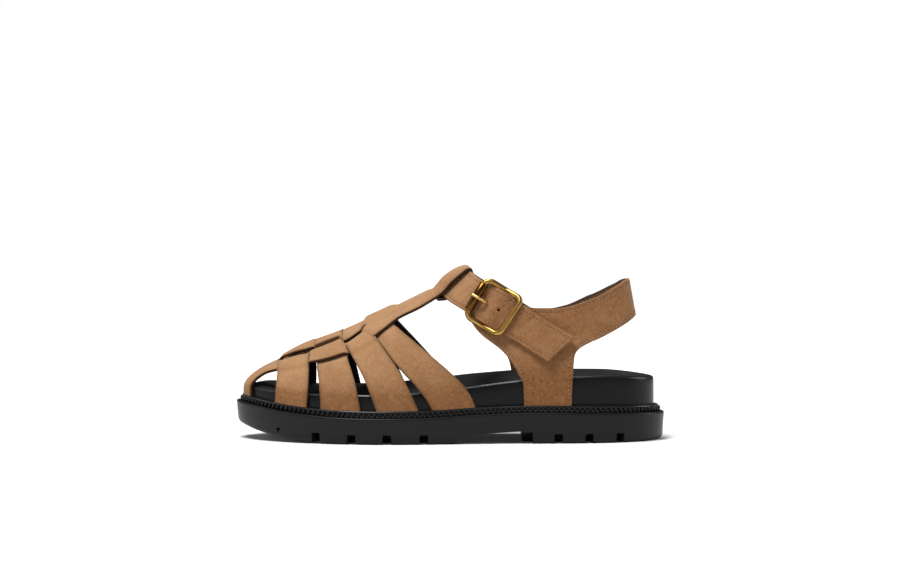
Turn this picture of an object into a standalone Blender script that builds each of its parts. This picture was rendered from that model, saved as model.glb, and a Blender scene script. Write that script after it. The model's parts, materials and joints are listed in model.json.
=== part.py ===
"""Roman (fisherman) sandal for the left foot: sole unit, woven vamp, quarter, ankle strap and buckle.

The toe points to -X, the outer side of the foot is -Y, +Z is up and the ground is z = 0.
Tables and sizes are in millimetres and become metres where a mesh is made.
"""
import math

import bmesh
import bpy
import numpy as np
from mathutils import Matrix, Vector

MM = 0.001
NAME = "roman_sandal"

# Thickness of the suede with its lining, and the clearance between pieces that touch.
SUEDE = 2.0
GAP = 0.3
HALF = SUEDE / 2

# Steps in from the outsole's wall to the rib of the welt, and to the side of the footbed.
RIB_INSET = 2.6
BED_INSET = 6.5
TUCK = 2.4
SEAT_DROP = 4.8

# Footbed: width over which the rim changes side, its flat lip, and the slope into the hollow.
RIM_EASE = 60.0
BED_LIP = 2.5
BED_SLOPE = 19.0
COVER = 1.2

# Plan of the outsole at the top of its wall, round from the toe by the outer side.
OUTLINE_COLUMNS = ("place", "x", "y")
OUTLINE = (
    ("toe tip", -135.2, 9.0),
    ("outer toe", -123.5, -15.5),
    ("little toe", -90.0, -39.5),
    ("outer ball", -40.0, -51.0),
    ("outer waist", 28.0, -42.8),
    ("outer heel", 92.0, -38.2),
    ("outer heel corner", 122.0, -24.5),
    ("heel back", 134.9, 0.0),
    ("inner heel corner", 122.5, 23.5),
    ("inner heel", 92.0, 36.0),
    ("inner waist", 26.0, 35.0),
    ("inner ball", -60.0, 51.0),
    ("inner toe", -112.0, 40.0),
)

# Side view of the sole: tread line, ledge of the welt, rim of the footbed on each side, hollow of the bed.
PROFILE_COLUMNS = ("x", "tread", "ledge", "rim_outer", "rim_inner", "bed_depth")
PROFILE = (
    (-135.2, 10.8, 26.6, 30.6, 31.2, 1.0),
    (-117.0, 5.4, 23.6, 31.4, 33.0, 2.2),
    (-98.0, 2.3, 21.5, 30.6, 32.0, 3.0),
    (-75.0, 0.5, 20.2, 30.4, 31.7, 3.4),
    (-52.0, 0.0, 19.8, 30.4, 32.0, 3.6),
    (-15.0, 0.0, 20.3, 31.8, 35.4, 4.0),
    (18.0, 0.0, 22.0, 35.8, 39.6, 4.8),
    (50.0, 0.0, 22.9, 39.4, 41.8, 5.6),
    (95.0, 0.0, 22.5, 41.3, 42.2, 6.2),
    (120.0, 0.0, 21.8, 40.2, 40.6, 4.0),
    (134.9, 0.6, 21.4, 38.8, 38.8, 3.0),
)

# Ridge of the last over the forefoot, at the middle of the suede, with the fulness of each flank.
RIDGE_COLUMNS = ("x", "ridge_y", "ridge_z", "outer_full", "inner_full")
RIDGE = (
    (-129.8, 9.0, 33.0, 1.8, 1.9),
    (-126.8, 9.4, 37.6, 1.75, 1.9),
    (-121.5, 10.0, 41.9, 1.65, 1.9),
    (-115.0, 11.0, 45.6, 1.6, 2.0),
    (-107.0, 12.0, 49.4, 1.55, 2.0),
    (-95.0, 13.0, 55.9, 1.5, 2.1),
    (-76.0, 13.5, 63.6, 1.5, 2.1),
    (-56.0, 12.5, 72.2, 1.5, 2.1),
    (-40.0, 10.0, 79.6, 1.5, 2.0),
    (-24.0, 7.0, 87.4, 1.5, 1.9),
    (-12.0, 5.0, 93.4, 1.5, 1.8),
    (20.0, 3.0, 109.0, 1.5, 1.7),
)

# Centre strip of the vamp in plan: its outer edge, the slit between its two strands, its inner edge.
STRIP_COLUMNS = ("x", "outer_edge", "slit", "inner_edge")
STRIP = (
    (-131.0, -5.5, 9.0, 24.0),
    (-118.0, -5.2, 6.5, 20.5),
    (-108.0, -8.8, 2.5, 18.5),
    (-87.0, -18.8, -1.0, 17.5),
    (-75.0, -21.8, -2.2, 16.5),
    (-62.0, -22.6, -4.4, 14.5),
    (-46.0, -19.0, -4.0, 13.0),
    (-31.0, -12.6, -1.0, 11.5),
    (-22.0, -10.8, 0.4, 11.4),
    (-13.0, -9.4, 1.2, 11.6),
)
SLIT_FROM = -113.0
SLIT_TO = -34.0
STRIP_END = -13.0

# Loop of the T-bar round the ankle strap: place across the strap and puff over its face, then the turn
# round its top edge by angle, then the run back behind it.
LOOP_WIDTH = 19.0
LOOP_CLEAR = SUEDE + GAP + 0.2
LOOP_EDGE = 10.1
LOOP_TURN = 3.5
LOOP_FACE_COLUMNS = ("across", "puff")
LOOP_FACE = ((-10.0, 0.9), (-4.5, 1.5), (2.5, 1.8), (8.0, 1.4))
LOOP_ANGLES = (62, 36, 10, -16, -42, -68, -90)
LOOP_BEHIND = (3.0, -5.0, -11.5)

# Cross straps: front and rear edge against the share of the girth from the outer to the inner welt.
STRAP_COLUMNS = ("girth", "front", "rear")
STRAPS = {
    "A": (
        (0.0, -108.6, -88.4),
        (0.12, -107.8, -87.4),
        (0.25, -107.7, -87.5),
        (0.4, -107.8, -87.2),
        (0.55, -107.3, -87.0),
        (0.78, -106.5, -86.5),
        (1.0, -106.5, -87.0),
    ),
    "B": (
        (0.0, -79.3, -54.2),
        (0.12, -80.4, -58.0),
        (0.25, -82.8, -63.0),
        (0.4, -84.8, -66.5),
        (0.55, -85.5, -67.8),
        (0.78, -82.5, -62.5),
        (1.0, -78.0, -55.0),
    ),
    "C": (
        (0.0, -44.3, -18.5),
        (0.12, -51.5, -28.0),
        (0.25, -59.8, -39.8),
        (0.4, -66.6, -50.2),
        (0.55, -67.6, -53.5),
        (0.78, -58.0, -40.0),
        (1.0, -47.0, -23.0),
    ),
    "D": (
        (0.0, -10.0, 16.2),
        (0.05, -14.9, 12.6),
        (0.12, -24.4, 2.2),
        (0.2, -34.7, -11.8),
        (0.25, -39.2, -19.6),
        (0.4, -49.6, -35.8),
        (0.55, -52.8, -39.4),
        (0.67, -47.8, -32.8),
        (0.78, -39.2, -19.2),
        (0.88, -28.4, -4.6),
        (1.0, -12.5, 13.0),
    ),
}
# Which strand each cross strap lies over: +1 over the outer strand and under the inner one.
OVER_OUTER = {"A": 1, "B": -1, "C": 1, "D": -1}
WEAVE = 0.85

# Ankle and heel in level sections, at the inside of the quarter's suede.
ANKLE_COLUMNS = ("z", "front_x", "back_x", "outer_half", "inner_half")
ANKLE = (
    (18.0, -60.0, 127.6, 33.8, 31.8),
    (40.0, -52.0, 127.4, 33.8, 31.8),
    (55.0, -45.0, 122.6, 33.0, 31.2),
    (70.0, -28.0, 117.0, 30.8, 30.0),
    (82.0, -13.0, 114.4, 28.8, 28.6),
    (94.0, 1.6, 112.2, 27.6, 27.6),
    (106.0, 17.0, 110.0, 27.0, 27.0),
)
ANKLE_X = 75.0
ANKLE_Y = 1.0
ANKLE_BACK_FULL = 2.25
ANKLE_FRONT_FULL = 2.3

# Quarter: lower and upper edge, along the outer side by x, round the back by angle, then the inner side.
STEM_FOOT = 20.0
SIDE_COLUMNS = ("x", "low", "high")
OUTER_SIDE = (
    (19.0, 75.5, 93.0),
    (26.0, 68.0, 90.5),
    (32.0, 61.0, 88.0),
    (37.0, 53.8, 86.2),
    (41.5, 46.6, 85.2),
    (44.6, 37.0, 84.5),
    (45.6, STEM_FOOT, 84.2),
    (55.0, STEM_FOOT, 82.8),
    (65.0, STEM_FOOT, 82.6),
    (74.6, STEM_FOOT, 84.2),
    (75.4, 38.0, 84.4),
    (77.0, 54.0, 84.9),
    (80.0, 58.0, 85.6),
    (88.0, 62.5, 88.0),
)
BACK_COLUMNS = ("turn", "low", "high")
BACK = (
    (0.0, 62.5, 88.0),
    (30.0, 70.0, 92.6),
    (60.0, 75.5, 97.2),
    (90.0, 78.0, 99.6),
)
INNER_SIDE = (
    (24.0, 72.0, 92.0),
    (30.0, 65.0, 89.5),
    (36.0, 57.5, 87.5),
    (41.0, 50.0, 85.8),
    (43.5, 36.0, 85.0),
    (44.2, STEM_FOOT, 84.8),
    (54.0, STEM_FOOT, 83.2),
    (64.0, STEM_FOOT, 83.0),
    (73.4, STEM_FOOT, 84.2),
    (74.2, 40.0, 84.4),
    (77.0, 55.0, 84.9),
    (80.0, 58.0, 85.6),
    (88.0, 62.5, 88.0),
)
BACK_FROM = 88.0

# Ankle strap: middle of its width and the slope of its width, from the tail to the sewn inner end.
ANKLE_STRAP_COLUMNS = ("place", "x", "side", "y", "z", "lift", "width", "rake")
ANKLE_STRAP = (
    ("tail end", 68.4, -1, None, 57.9, 0.0, 21.5, 32.0),
    ("tail", 48.0, -1, None, 70.3, 0.4, 21.0, 32.0),
    ("buckle", 28.5, -1, None, 82.6, 1.6, 21.0, 32.0),
    ("outer shoulder", 13.5, -1, -21.5, 91.2, 0.0, 22.0, 38.0),
    ("outer loop", 5.4, -1, -8.0, 96.6, 0.0, 23.0, 47.0),
    ("instep", 2.0, 0, 2.5, 99.4, 0.0, 22.5, 51.0),
    ("inner loop", 5.4, 1, 13.0, 96.6, 0.0, 23.0, 47.0),
    ("inner shoulder", 13.5, 1, 25.0, 91.2, 0.0, 22.0, 38.0),
    ("inner side", 28.5, 1, None, 83.0, 0.4, 21.0, 32.0),
    ("sewn end", 50.0, 1, None, 70.0, 0.0, 21.0, 32.0),
)
TAIL_SLANT = 15.0

# Lug notches by x: wide at the mouth, with the heel breast wider than the rest.
NOTCH_COLUMNS = ("x", "width", "height", "reach")
NOTCHES = (
    (-105.7, 4.6, 4.6, 12.0),
    (-83.0, 5.0, 5.9, 15.0),
    (-60.7, 5.0, 5.9, 16.0),
    (-38.7, 5.0, 5.9, 16.0),
    (-15.8, 5.0, 5.9, 16.0),
    (67.0, 4.8, 5.9, 14.0),
    (86.2, 4.8, 5.9, 14.0),
    (105.7, 4.8, 5.9, 13.0),
)
BREAST_X = 47.6
BREAST_WIDTH = 6.4
BREAST_HEIGHT = 7.0

# Cut-away of the sole's edge under the arch.
ARCH_FROM = 6.0
ARCH_TO = 44.4
ARCH_CUT = 8.4

# Buckle: outside size along and across the strap, wire, corner, and the depth of its dip at the centre bar.
BUCKLE_LONG = 26.4
BUCKLE_WIDE = 29.4
WIRE = 3.0
CORNER = 3.4
END_BAR_N = 2.9
ROLLER_BAR_N = 3.9
CENTRE_BAR_N = -0.9
CENTRE_BAR = 2.2
STRAP_HUMP = 1.5
ROLLER_OUTER = 5.0
ROLLER_WALL = 0.7
ROLLER_LONG = 18.0
PRONG = 2.0

# Prong in the buckle's own places: along the strap from the centre bar, and out from the strap's middle.
PRONG_FOOT = 2.3
PRONG_OVER = ROLLER_BAR_N + ROLLER_OUTER / 2 + GAP + PRONG / 2
PRONG_COLUMNS = ("along", "out")
PRONG_LINE = (
    (PRONG_FOOT, -1.5),
    (2.6, 0.4),
    (3.3, 2.8),
    (5.4, 4.9),
    (8.2, PRONG_OVER - 0.6),
    (BUCKLE_LONG / 2 - WIRE / 2, PRONG_OVER),
    (BUCKLE_LONG / 2 - WIRE / 2 + 1.6, PRONG_OVER - 0.5),
)


def column(rows, columns, name):
    """One named column of a table."""
    return np.array([row[columns.index(name)] for row in rows], float)


def monotone(xs, ys):
    """A smooth curve through the points that does not overshoot them."""
    xs = np.asarray(xs, float)
    ys = np.asarray(ys, float)
    step = np.diff(xs)
    rise = np.diff(ys) / step
    slope = np.zeros_like(ys)
    slope[0] = rise[0]
    slope[-1] = rise[-1]
    for i in range(1, len(xs) - 1):
        if rise[i - 1] * rise[i] > 0:
            a = 2 * step[i] + step[i - 1]
            b = step[i] + 2 * step[i - 1]
            slope[i] = (a + b) / (a / rise[i - 1] + b / rise[i])

    def value(x):
        x = np.clip(np.asarray(x, float), xs[0], xs[-1])
        i = np.clip(np.searchsorted(xs, x) - 1, 0, len(step) - 1)
        t = (x - xs[i]) / step[i]
        keep = (1 + 2 * t) * (1 - t) ** 2 * ys[i] + t * t * (3 - 2 * t) * ys[i + 1]
        return keep + step[i] * (t * (1 - t) ** 2 * slope[i] + t * t * (t - 1) * slope[i + 1])

    return value


def natural(xs, ys):
    """A natural cubic through the points, straight beyond its ends."""
    xs = np.asarray(xs, float)
    ys = np.asarray(ys, float)
    count = len(xs)
    step = np.diff(xs)
    system = np.eye(count)
    right = np.zeros((count,) + ys.shape[1:])
    for i in range(1, count - 1):
        system[i, i - 1:i + 2] = (step[i - 1], 2 * (step[i - 1] + step[i]), step[i])
        right[i] = 6 * ((ys[i + 1] - ys[i]) / step[i] - (ys[i] - ys[i - 1]) / step[i - 1])
    bend = np.linalg.solve(system, right)

    def value(x):
        x = np.asarray(x, float)
        i = np.clip(np.searchsorted(xs, x) - 1, 0, count - 2)
        h = step[i]
        a = (xs[i + 1] - x) / h
        b = (x - xs[i]) / h
        if ys.ndim > 1:
            h, a, b = h[..., None], a[..., None], b[..., None]
        line = a * ys[i] + b * ys[i + 1]
        return line + ((a ** 3 - a) * bend[i] + (b ** 3 - b) * bend[i + 1]) * h * h / 6

    return value


def curve_of(rows, columns, key, name):
    return monotone(column(rows, columns, key), column(rows, columns, name))


def closed_outline():
    """The sole's plan as a dense closed curve with its inward normals, toe tip first."""
    points = np.stack([column(OUTLINE, OUTLINE_COLUMNS, "x"), column(OUTLINE, OUTLINE_COLUMNS, "y")], 1)
    wrapped = np.concatenate([points[-4:], points, points[:5]])
    chord = np.concatenate([[0.0], np.cumsum(np.linalg.norm(np.diff(wrapped, axis=0), axis=1))])
    spline = natural(chord, wrapped)
    place = np.linspace(chord[4], chord[4 + len(points)], 2400, endpoint=False)
    dense = spline(place)
    ahead = np.roll(dense, -1, axis=0) - np.roll(dense, 1, axis=0)
    ahead /= np.linalg.norm(ahead, axis=1)[:, None]
    inward = np.stack([-ahead[:, 1], ahead[:, 0]], 1)
    return dense, inward


DENSE, INWARD = closed_outline()
TOE = int(np.argmin(DENSE[:, 0]))
DENSE = np.roll(DENSE, -TOE, axis=0)
INWARD = np.roll(INWARD, -TOE, axis=0)
HEEL = int(np.argmax(DENSE[:, 0]))

tread_z = curve_of(PROFILE, PROFILE_COLUMNS, "x", "tread")
ledge_z = curve_of(PROFILE, PROFILE_COLUMNS, "x", "ledge")
rim_outer_z = curve_of(PROFILE, PROFILE_COLUMNS, "x", "rim_outer")
rim_inner_z = curve_of(PROFILE, PROFILE_COLUMNS, "x", "rim_inner")
bed_depth = curve_of(PROFILE, PROFILE_COLUMNS, "x", "bed_depth")


def edge_y(side, inset, x):
    """Y of the outline stepped in by inset, on the outer (-1) or inner (+1) side."""
    line = DENSE + inset * INWARD
    half = line[:HEEL + 1] if side < 0 else np.concatenate([line[HEEL:], line[:1]])[::-1]
    return np.interp(x, half[:, 0], half[:, 1])


def edge_end(inset):
    """The toe tip of the outline stepped in by inset."""
    return DENSE[0] + inset * INWARD[0]


RING_SIDE = 32
ACROSS = 7


def ring_places():
    """Places round the dense outline, closer together at the toe and the heel."""
    step = np.arange(RING_SIDE + 1) / RING_SIDE
    share = 0.55 * step + 0.45 * (1 - np.cos(np.pi * step)) / 2
    outer = share * HEEL
    inner = HEEL + (1 - share[::-1]) * (len(DENSE) - HEEL)
    return np.rint(np.concatenate([outer, inner[1:-1]])).astype(int)


PLACES = ring_places()


def ring(inset, height):
    """One closed ring of the sole: inset and height are numbers or take the ring's x, y."""
    at = DENSE[PLACES]
    depth = inset(at[:, 0], at[:, 1]) if callable(inset) else inset
    flat = at + np.reshape(depth, (-1, 1)) * INWARD[PLACES]
    z = height(flat[:, 0], flat[:, 1]) if callable(height) else np.full(len(flat), height)
    return np.column_stack([flat, z])


def rim_z(x, y):
    """Height of the footbed's rim, eased from the outer to the inner side."""
    t = np.clip(y / RIM_EASE + 0.5, 0, 1)
    t = t * t * (3 - 2 * t)
    return (1 - t) * rim_outer_z(x) + t * rim_inner_z(x)


def bed_z(x, y):
    """Top of the bed: a smooth hollow inside the rim."""
    rim = (DENSE + BED_INSET * INWARD)[::8]
    step = np.stack([x, y], -1)[..., None, :] - rim
    away = np.linalg.norm(step, axis=-1).min(-1)
    t = np.clip((away - BED_LIP) / BED_SLOPE, 0, 1)
    return rim_z(x, y) - bed_depth(x) * t * t * (3 - 2 * t)


def seat_z(x, y):
    return ledge_z(x) - SEAT_DROP


def collection(name):
    made = bpy.data.collections.new(name)
    bpy.context.scene.collection.children.link(made)
    return made


def material(name, colour, rough, metal=0.0):
    made = bpy.data.materials.new(name)
    made.use_nodes = True
    shader = made.node_tree.nodes["Principled BSDF"]
    shader.inputs["Base Color"].default_value = (*colour, 1.0)
    shader.inputs["Roughness"].default_value = rough
    shader.inputs["Metallic"].default_value = metal
    return made


def object_of(name, mesh, home, paint=None):
    mesh.name = name
    made = bpy.data.objects.new(name, mesh)
    home.objects.link(made)
    if paint:
        made.data.materials.append(paint)
    return made


def as_cutter(made):
    made.hide_render = True
    made.display_type = "WIRE"
    return made


def mesh_of(build):
    """A mesh whose normals point outwards."""
    build.normal_update()
    bmesh.ops.recalc_face_normals(build, faces=build.faces)
    made = bpy.data.meshes.new("made")
    build.to_mesh(made)
    build.free()
    return made


def loft(rings, bottom, top, low_across=2, high_across=2):
    """A solid between rings, closed by grids that run from the outer to the inner side."""
    build = bmesh.new()
    rows = [[build.verts.new(p * MM) for p in points] for points in rings]
    size = len(rows[0])
    for low, high in zip(rows, rows[1:]):
        for i in range(size):
            j = (i + 1) % size
            build.faces.new((low[i], low[j], high[j], high[i]))
    ends = ((rows[0], rings[0], bottom, low_across), (rows[-1], rings[-1], top, high_across))
    for row, points, height, across in ends:
        last = [row[0]]
        for i in range(1, RING_SIDE):
            start, end = points[i], points[size - i]
            line = [row[i]]
            for k in range(1, across):
                share = k / across
                spot = start + share * (end - start)
                spot[2] = height(spot[0], spot[1])
                line.append(build.verts.new(spot * MM))
            line.append(row[size - i])
            if len(last) == 1:
                for a, b in zip(line, line[1:]):
                    build.faces.new((last[0], a, b))
            else:
                for k in range(across):
                    build.faces.new((last[k], line[k], line[k + 1], last[k + 1]))
            last = line
        for a, b in zip(last, last[1:]):
            build.faces.new((row[RING_SIDE], a, b))
    return mesh_of(build)


def sheet(points, skip=None):
    """An open surface through a grid of points; skip names the quads that are left out."""
    build = bmesh.new()
    rows, columns = points.shape[:2]
    made = [[build.verts.new(p * MM) for p in line] for line in points]
    for j in range(rows - 1):
        for k in range(columns - 1):
            if skip is None or not skip(j, k):
                build.faces.new((made[j][k], made[j][k + 1], made[j + 1][k + 1], made[j + 1][k]))
    mesh = bpy.data.meshes.new("sheet")
    build.to_mesh(mesh)
    build.free()
    return mesh


def thicken(made, thickness=SUEDE):
    solid = made.modifiers.new("suede", "SOLIDIFY")
    solid.thickness = thickness * MM
    solid.offset = 0.0
    solid.use_even_offset = True
    solid.use_rim = True
    return made


def boolean(made, other, how):
    cut = made.modifiers.new(how.lower(), "BOOLEAN")
    cut.object = other
    cut.operation = how
    cut.solver = "EXACT"
    return cut


def grid_normals(points):
    """Unit normals of a grid of points."""
    along = np.gradient(points, axis=0)
    over = np.gradient(points, axis=1)
    normal = np.cross(along, over)
    return normal / np.linalg.norm(normal, axis=2)[..., None]


def wave(x):
    """0 to 1 with flat ends."""
    x = np.clip(x, 0, 1)
    return x * x * (3 - 2 * x)


# The last over the forefoot.
TIP = edge_end(BED_INSET - GAP - HALF)
RIDGE_PLACE = np.sqrt(np.maximum(column(RIDGE, RIDGE_COLUMNS, "x") - TIP[0], 0.0))
ridge_curve = {
    name: natural(RIDGE_PLACE, column(RIDGE, RIDGE_COLUMNS, name)) for name in ("ridge_y", "ridge_z")
}
ridge_full = {name: curve_of(RIDGE, RIDGE_COLUMNS, "x", name) for name in ("outer_full", "inner_full")}


def section(x):
    """The last's girth at x: a fine line from the outer welt over the ridge to the inner welt."""
    place = math.sqrt(max(x - TIP[0], 0.0))
    top_y = float(ridge_curve["ridge_y"](place))
    top_z = float(ridge_curve["ridge_z"](place))
    turn = np.linspace(0, math.pi / 2, 40)
    halves = []
    for side, full in ((-1, ridge_full["outer_full"](x)), (1, ridge_full["inner_full"](x))):
        foot_y = float(edge_y(side, BED_INSET - GAP - HALF, x))
        rim = float(rim_outer_z(x) if side < 0 else rim_inner_z(x)) + 0.8
        shoulder = min(rim, top_z - 2.0)
        y = top_y + (foot_y - top_y) * np.cos(turn) ** (2 / full)
        z = shoulder + (top_z - shoulder) * np.sin(turn) ** (2 / full)
        base = float(ledge_z(x)) - TUCK
        drop = np.linspace(base, shoulder, 8)[:-1]
        halves.append((np.concatenate([np.full(len(drop), foot_y), y]), np.concatenate([drop, z])))
    outer, inner = halves
    return np.concatenate([outer[0], inner[0][-2::-1]]), np.concatenate([outer[1], inner[1][-2::-1]])


def girth_point(x, share):
    y, z = section(x)
    run = np.concatenate([[0.0], np.cumsum(np.hypot(np.diff(y), np.diff(z)))])
    run /= run[-1]
    return np.array([x, np.interp(share, run, y), np.interp(share, run, z)])


def height_at(x, y):
    """Top of the last above a place in plan."""
    line_y, line_z = section(x)
    keep = slice(7, len(line_y) - 7)
    return float(np.interp(y, line_y[keep], line_z[keep]))


strip_edges = {name: curve_of(STRIP, STRIP_COLUMNS, "x", name) for name in STRIP_COLUMNS[1:]}


def strand_offset(x, outer):
    """How far a strand rides above (+) or below (-) the last where it crosses each strap."""
    lift = 0.0
    for name, rows in STRAPS.items():
        front = float(curve_of(rows, STRAP_COLUMNS, "girth", "front")(0.5))
        rear = float(curve_of(rows, STRAP_COLUMNS, "girth", "rear")(0.5))
        middle, half = (front + rear) / 2, (rear - front) / 2
        side = -OVER_OUTER[name] if outer else OVER_OUTER[name]
        lift += side * WEAVE * float(wave(1.75 - abs(x - middle) / half * 0.95))
    return max(-WEAVE, min(WEAVE, lift))


def strap_grid(name, rows=25, columns=5, spread=0.0):
    """Middle surface of a cross strap from the outer to the inner welt."""
    table = STRAPS[name]
    front = natural(column(table, STRAP_COLUMNS, "girth"), column(table, STRAP_COLUMNS, "front"))
    rear = natural(column(table, STRAP_COLUMNS, "girth"), column(table, STRAP_COLUMNS, "rear"))
    grid = np.zeros((rows, columns, 3))
    share = np.linspace(0, 1, rows)
    for j, g in enumerate(share):
        for k in range(columns):
            t = k / (columns - 1)
            x = (1 - t) * (float(front(g)) - spread) + t * (float(rear(g)) + spread)
            grid[j, k] = girth_point(x, g)
    normal = grid_normals(grid)
    if normal[rows // 2, columns // 2, 2] < 0:
        normal = -normal
    over = np.zeros((rows, columns))
    for j in range(rows):
        for k in range(columns):
            x, y, z = grid[j, k]
            edge, slit, inner = (float(strip_edges[n](x)) for n in ("outer_edge", "slit", "inner_edge"))
            near = wave((y - edge + 5) / 5) * wave((slit + 2.0 - y) / 4)
            far = wave((y - slit + 2.0) / 4) * wave((inner + 5 - y) / 5)
            over[j, k] = OVER_OUTER[name] * WEAVE * (near - far)
    return grid + over[..., None] * normal


# The ankle form.
ankle_curve = {name: curve_of(ANKLE, ANKLE_COLUMNS, "z", name) for name in ANKLE_COLUMNS[1:]}


def ankle_y(side, x, z):
    """Inside of the quarter at x, z: the footbed's edge low down, easing into the ankle above the rim."""
    if x < ANKLE_X:
        share = (ANKLE_X - x) / (ANKLE_X - float(ankle_curve["front_x"](z)))
        full = ANKLE_FRONT_FULL
    else:
        share = (x - ANKLE_X) / (float(ankle_curve["back_x"](z)) - ANKLE_X)
        full = ANKLE_BACK_FULL
    half = float(ankle_curve["outer_half" if side < 0 else "inner_half"](z))
    form = ANKLE_Y + side * half * max(0.0, 1 - min(share, 1.0) ** full) ** (1 / full)
    edge = float(edge_y(side, BED_INSET - GAP, x))
    rim = float(rim_outer_z(x) if side < 0 else rim_inner_z(x)) + 1.0
    ease = float(wave((z - rim) / 26))
    return (1 - ease) * edge + ease * form


def ankle_back(turn, z):
    """Plan point of the ankle behind BACK_FROM: turn runs from -90 (outer) over 0 (back) to 90 (inner)."""
    side = -1 if turn < 0 else 1
    start = BACK_FROM
    back = float(ankle_curve["back_x"](z))
    angle = math.radians(90 - abs(turn))
    x = start + (back - start) * math.sin(angle) ** 0.9
    return x, ankle_y(side, x, z)


def quarter_grid(columns=7):
    """Middle surface of the quarter, round from the outer front over the heel to the inner front."""
    stations = [("outer", row) for row in OUTER_SIDE]
    low = curve_of(BACK, BACK_COLUMNS, "turn", "low")
    high = curve_of(BACK, BACK_COLUMNS, "turn", "high")
    for turn in (-75, -60, -46, -34, -22, -11, 0, 11, 22, 34, 46, 60, 75):
        stations.append(("back", (turn, float(low(90 - abs(turn))), float(high(90 - abs(turn))))))
    stations += [("inner", row) for row in INNER_SIDE[::-1]]
    grid = np.zeros((len(stations), columns, 3))
    for j, (kind, (place, bottom, top)) in enumerate(stations):
        for k in range(columns):
            t = k / (columns - 1)
            z = bottom + t * (top - bottom)
            if kind == "back":
                x, y = ankle_back(place, z)
            else:
                x = place
                y = ankle_y(-1 if kind == "outer" else 1, x, z)
            grid[j, k] = (x, y, z)
    normal = grid_normals(grid)
    if normal[len(stations) // 2, columns // 2, 0] < 0:
        normal = -normal
    return grid + HALF * normal


# The ankle strap lies outside the quarter.
STRAP_OUT = SUEDE + GAP + HALF + 0.3


def ankle_strap_frame():
    """Middle line, width and slope of the ankle strap against its run from the tail."""
    names = ANKLE_STRAP_COLUMNS
    points = []
    leans = []
    for row in ANKLE_STRAP:
        x, side, y, z, lift, rake = (row[names.index(n)] for n in ("x", "side", "y", "z", "lift", "rake"))
        lean = 0.0
        if y is None:
            y = ankle_y(side, x, z) + side * (STRAP_OUT + lift)
            step_x, step_z = 9 * math.sin(math.radians(rake)), 9 * math.cos(math.radians(rake))
            lean = (ankle_y(side, x + step_x, z + step_z) - ankle_y(side, x - step_x, z - step_z)) / 18
        points.append((x, y, z))
        leans.append(lean)
    points = np.array(points)
    run = np.concatenate([[0.0], np.cumsum(np.linalg.norm(np.diff(points, axis=0), axis=1))])
    width = monotone(run, column(ANKLE_STRAP, names, "width"))
    rake = monotone(run, column(ANKLE_STRAP, names, "rake"))
    return natural(run, points), width, rake, monotone(run, leans), run


strap_line, strap_width, strap_rake, strap_lean, STRAP_RUN = ankle_strap_frame()


def strap_axes(s):
    """Along, across and outward directions of the ankle strap at run s."""
    along = np.asarray(strap_line(s + 0.5)) - np.asarray(strap_line(s - 0.5))
    along = along / np.linalg.norm(along)
    tilt = math.radians(float(strap_rake(s)))
    across = np.array([math.sin(tilt), float(strap_lean(s)), math.cos(tilt)])
    across = across - along * float(np.dot(along, across))
    across = across / np.linalg.norm(across)
    out = np.cross(across, along)
    middle = np.array([55.0, ANKLE_Y, 70.0])
    if float(np.dot(out, np.asarray(strap_line(s)) - middle)) < 0:
        out = -out
    return along, across, out


BUCKLE_RUN = float(STRAP_RUN[2]) + 1.2
INSTEP_RUN = float(STRAP_RUN[5])


def strap_base(s, w, n):
    """A place beside the ankle strap: w across from its middle line and n outwards."""
    along, across, out = strap_axes(s)
    return np.asarray(strap_line(s)) + w * across + n * out


def strap_point(s, w, n=0.0):
    """The same, with the strap's hump over the buckle's centre bar."""
    return strap_base(s, w, n + STRAP_HUMP * math.exp(-((s - BUCKLE_RUN) / 5.0) ** 2))


def ankle_strap_grid(rows=49, columns=6):
    """Middle surface of the ankle strap with its slanted tail end."""
    grid = np.zeros((rows, columns, 3))
    slant = math.tan(math.radians(TAIL_SLANT))
    for j, s in enumerate(np.linspace(STRAP_RUN[0], STRAP_RUN[-1], rows)):
        for k in range(columns):
            w = float(strap_width(s)) * (k / (columns - 1) - 0.5)
            shift = w * slant * max(0.0, 1 - j / 4)
            grid[j, k] = strap_point(s - shift, w)
    return grid


def strip_grid(rows=40, side_columns=4):
    """Middle surface of the centre strip from the toe to the foot of the loop, slit between its strands."""
    shares = np.concatenate([np.linspace(0, 0.96, side_columns), 1 + np.linspace(0.04, 1, side_columns)])
    columns = len(shares)
    grid = np.zeros((rows, columns, 3))
    run = np.linspace(0, 1, rows - 3)
    for k, share in enumerate(shares):

        def line_y(x):
            edge, slit, inner = (float(strip_edges[n](x)) for n in STRIP_COLUMNS[1:])
            return edge + share * (slit - edge) if share < 1 else slit + (share - 1) * (inner - slit)

        xs = np.linspace(TIP[0] + 0.02, -110.0, 1500)
        outer, inner = (edge_y(side, BED_INSET - GAP - HALF, xs) for side in (-1, 1))
        ys = np.array([line_y(x) for x in xs])
        start = float(xs[int(np.argmax((outer < ys) & (ys < inner)))])
        foot_y = line_y(start)
        base = float(ledge_z(start)) - TUCK
        rim = height_at(start, foot_y)
        for j in range(3):
            grid[j, k] = (start, foot_y, base + (rim - base) * j / 3)
        for j, t in enumerate(run):
            x = start + (STRIP_END - start) * (0.35 * t * t + 0.65 * t ** 1.25)
            y = line_y(x)
            grid[j + 3, k] = (x, y, height_at(x, y))
    normal = grid_normals(grid)
    if normal[rows - 3, columns // 2, 2] < 0:
        normal = -normal
    lift = np.zeros((rows, columns))
    for j in range(3, rows):
        for k in range(columns):
            lift[j, k] = strand_offset(grid[j, k, 0], k < side_columns)
    middle = grid[:, columns // 2, 0]
    slit = [SLIT_FROM < x < SLIT_TO for x in middle]
    return grid + lift[..., None] * normal, slit, side_columns


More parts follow.
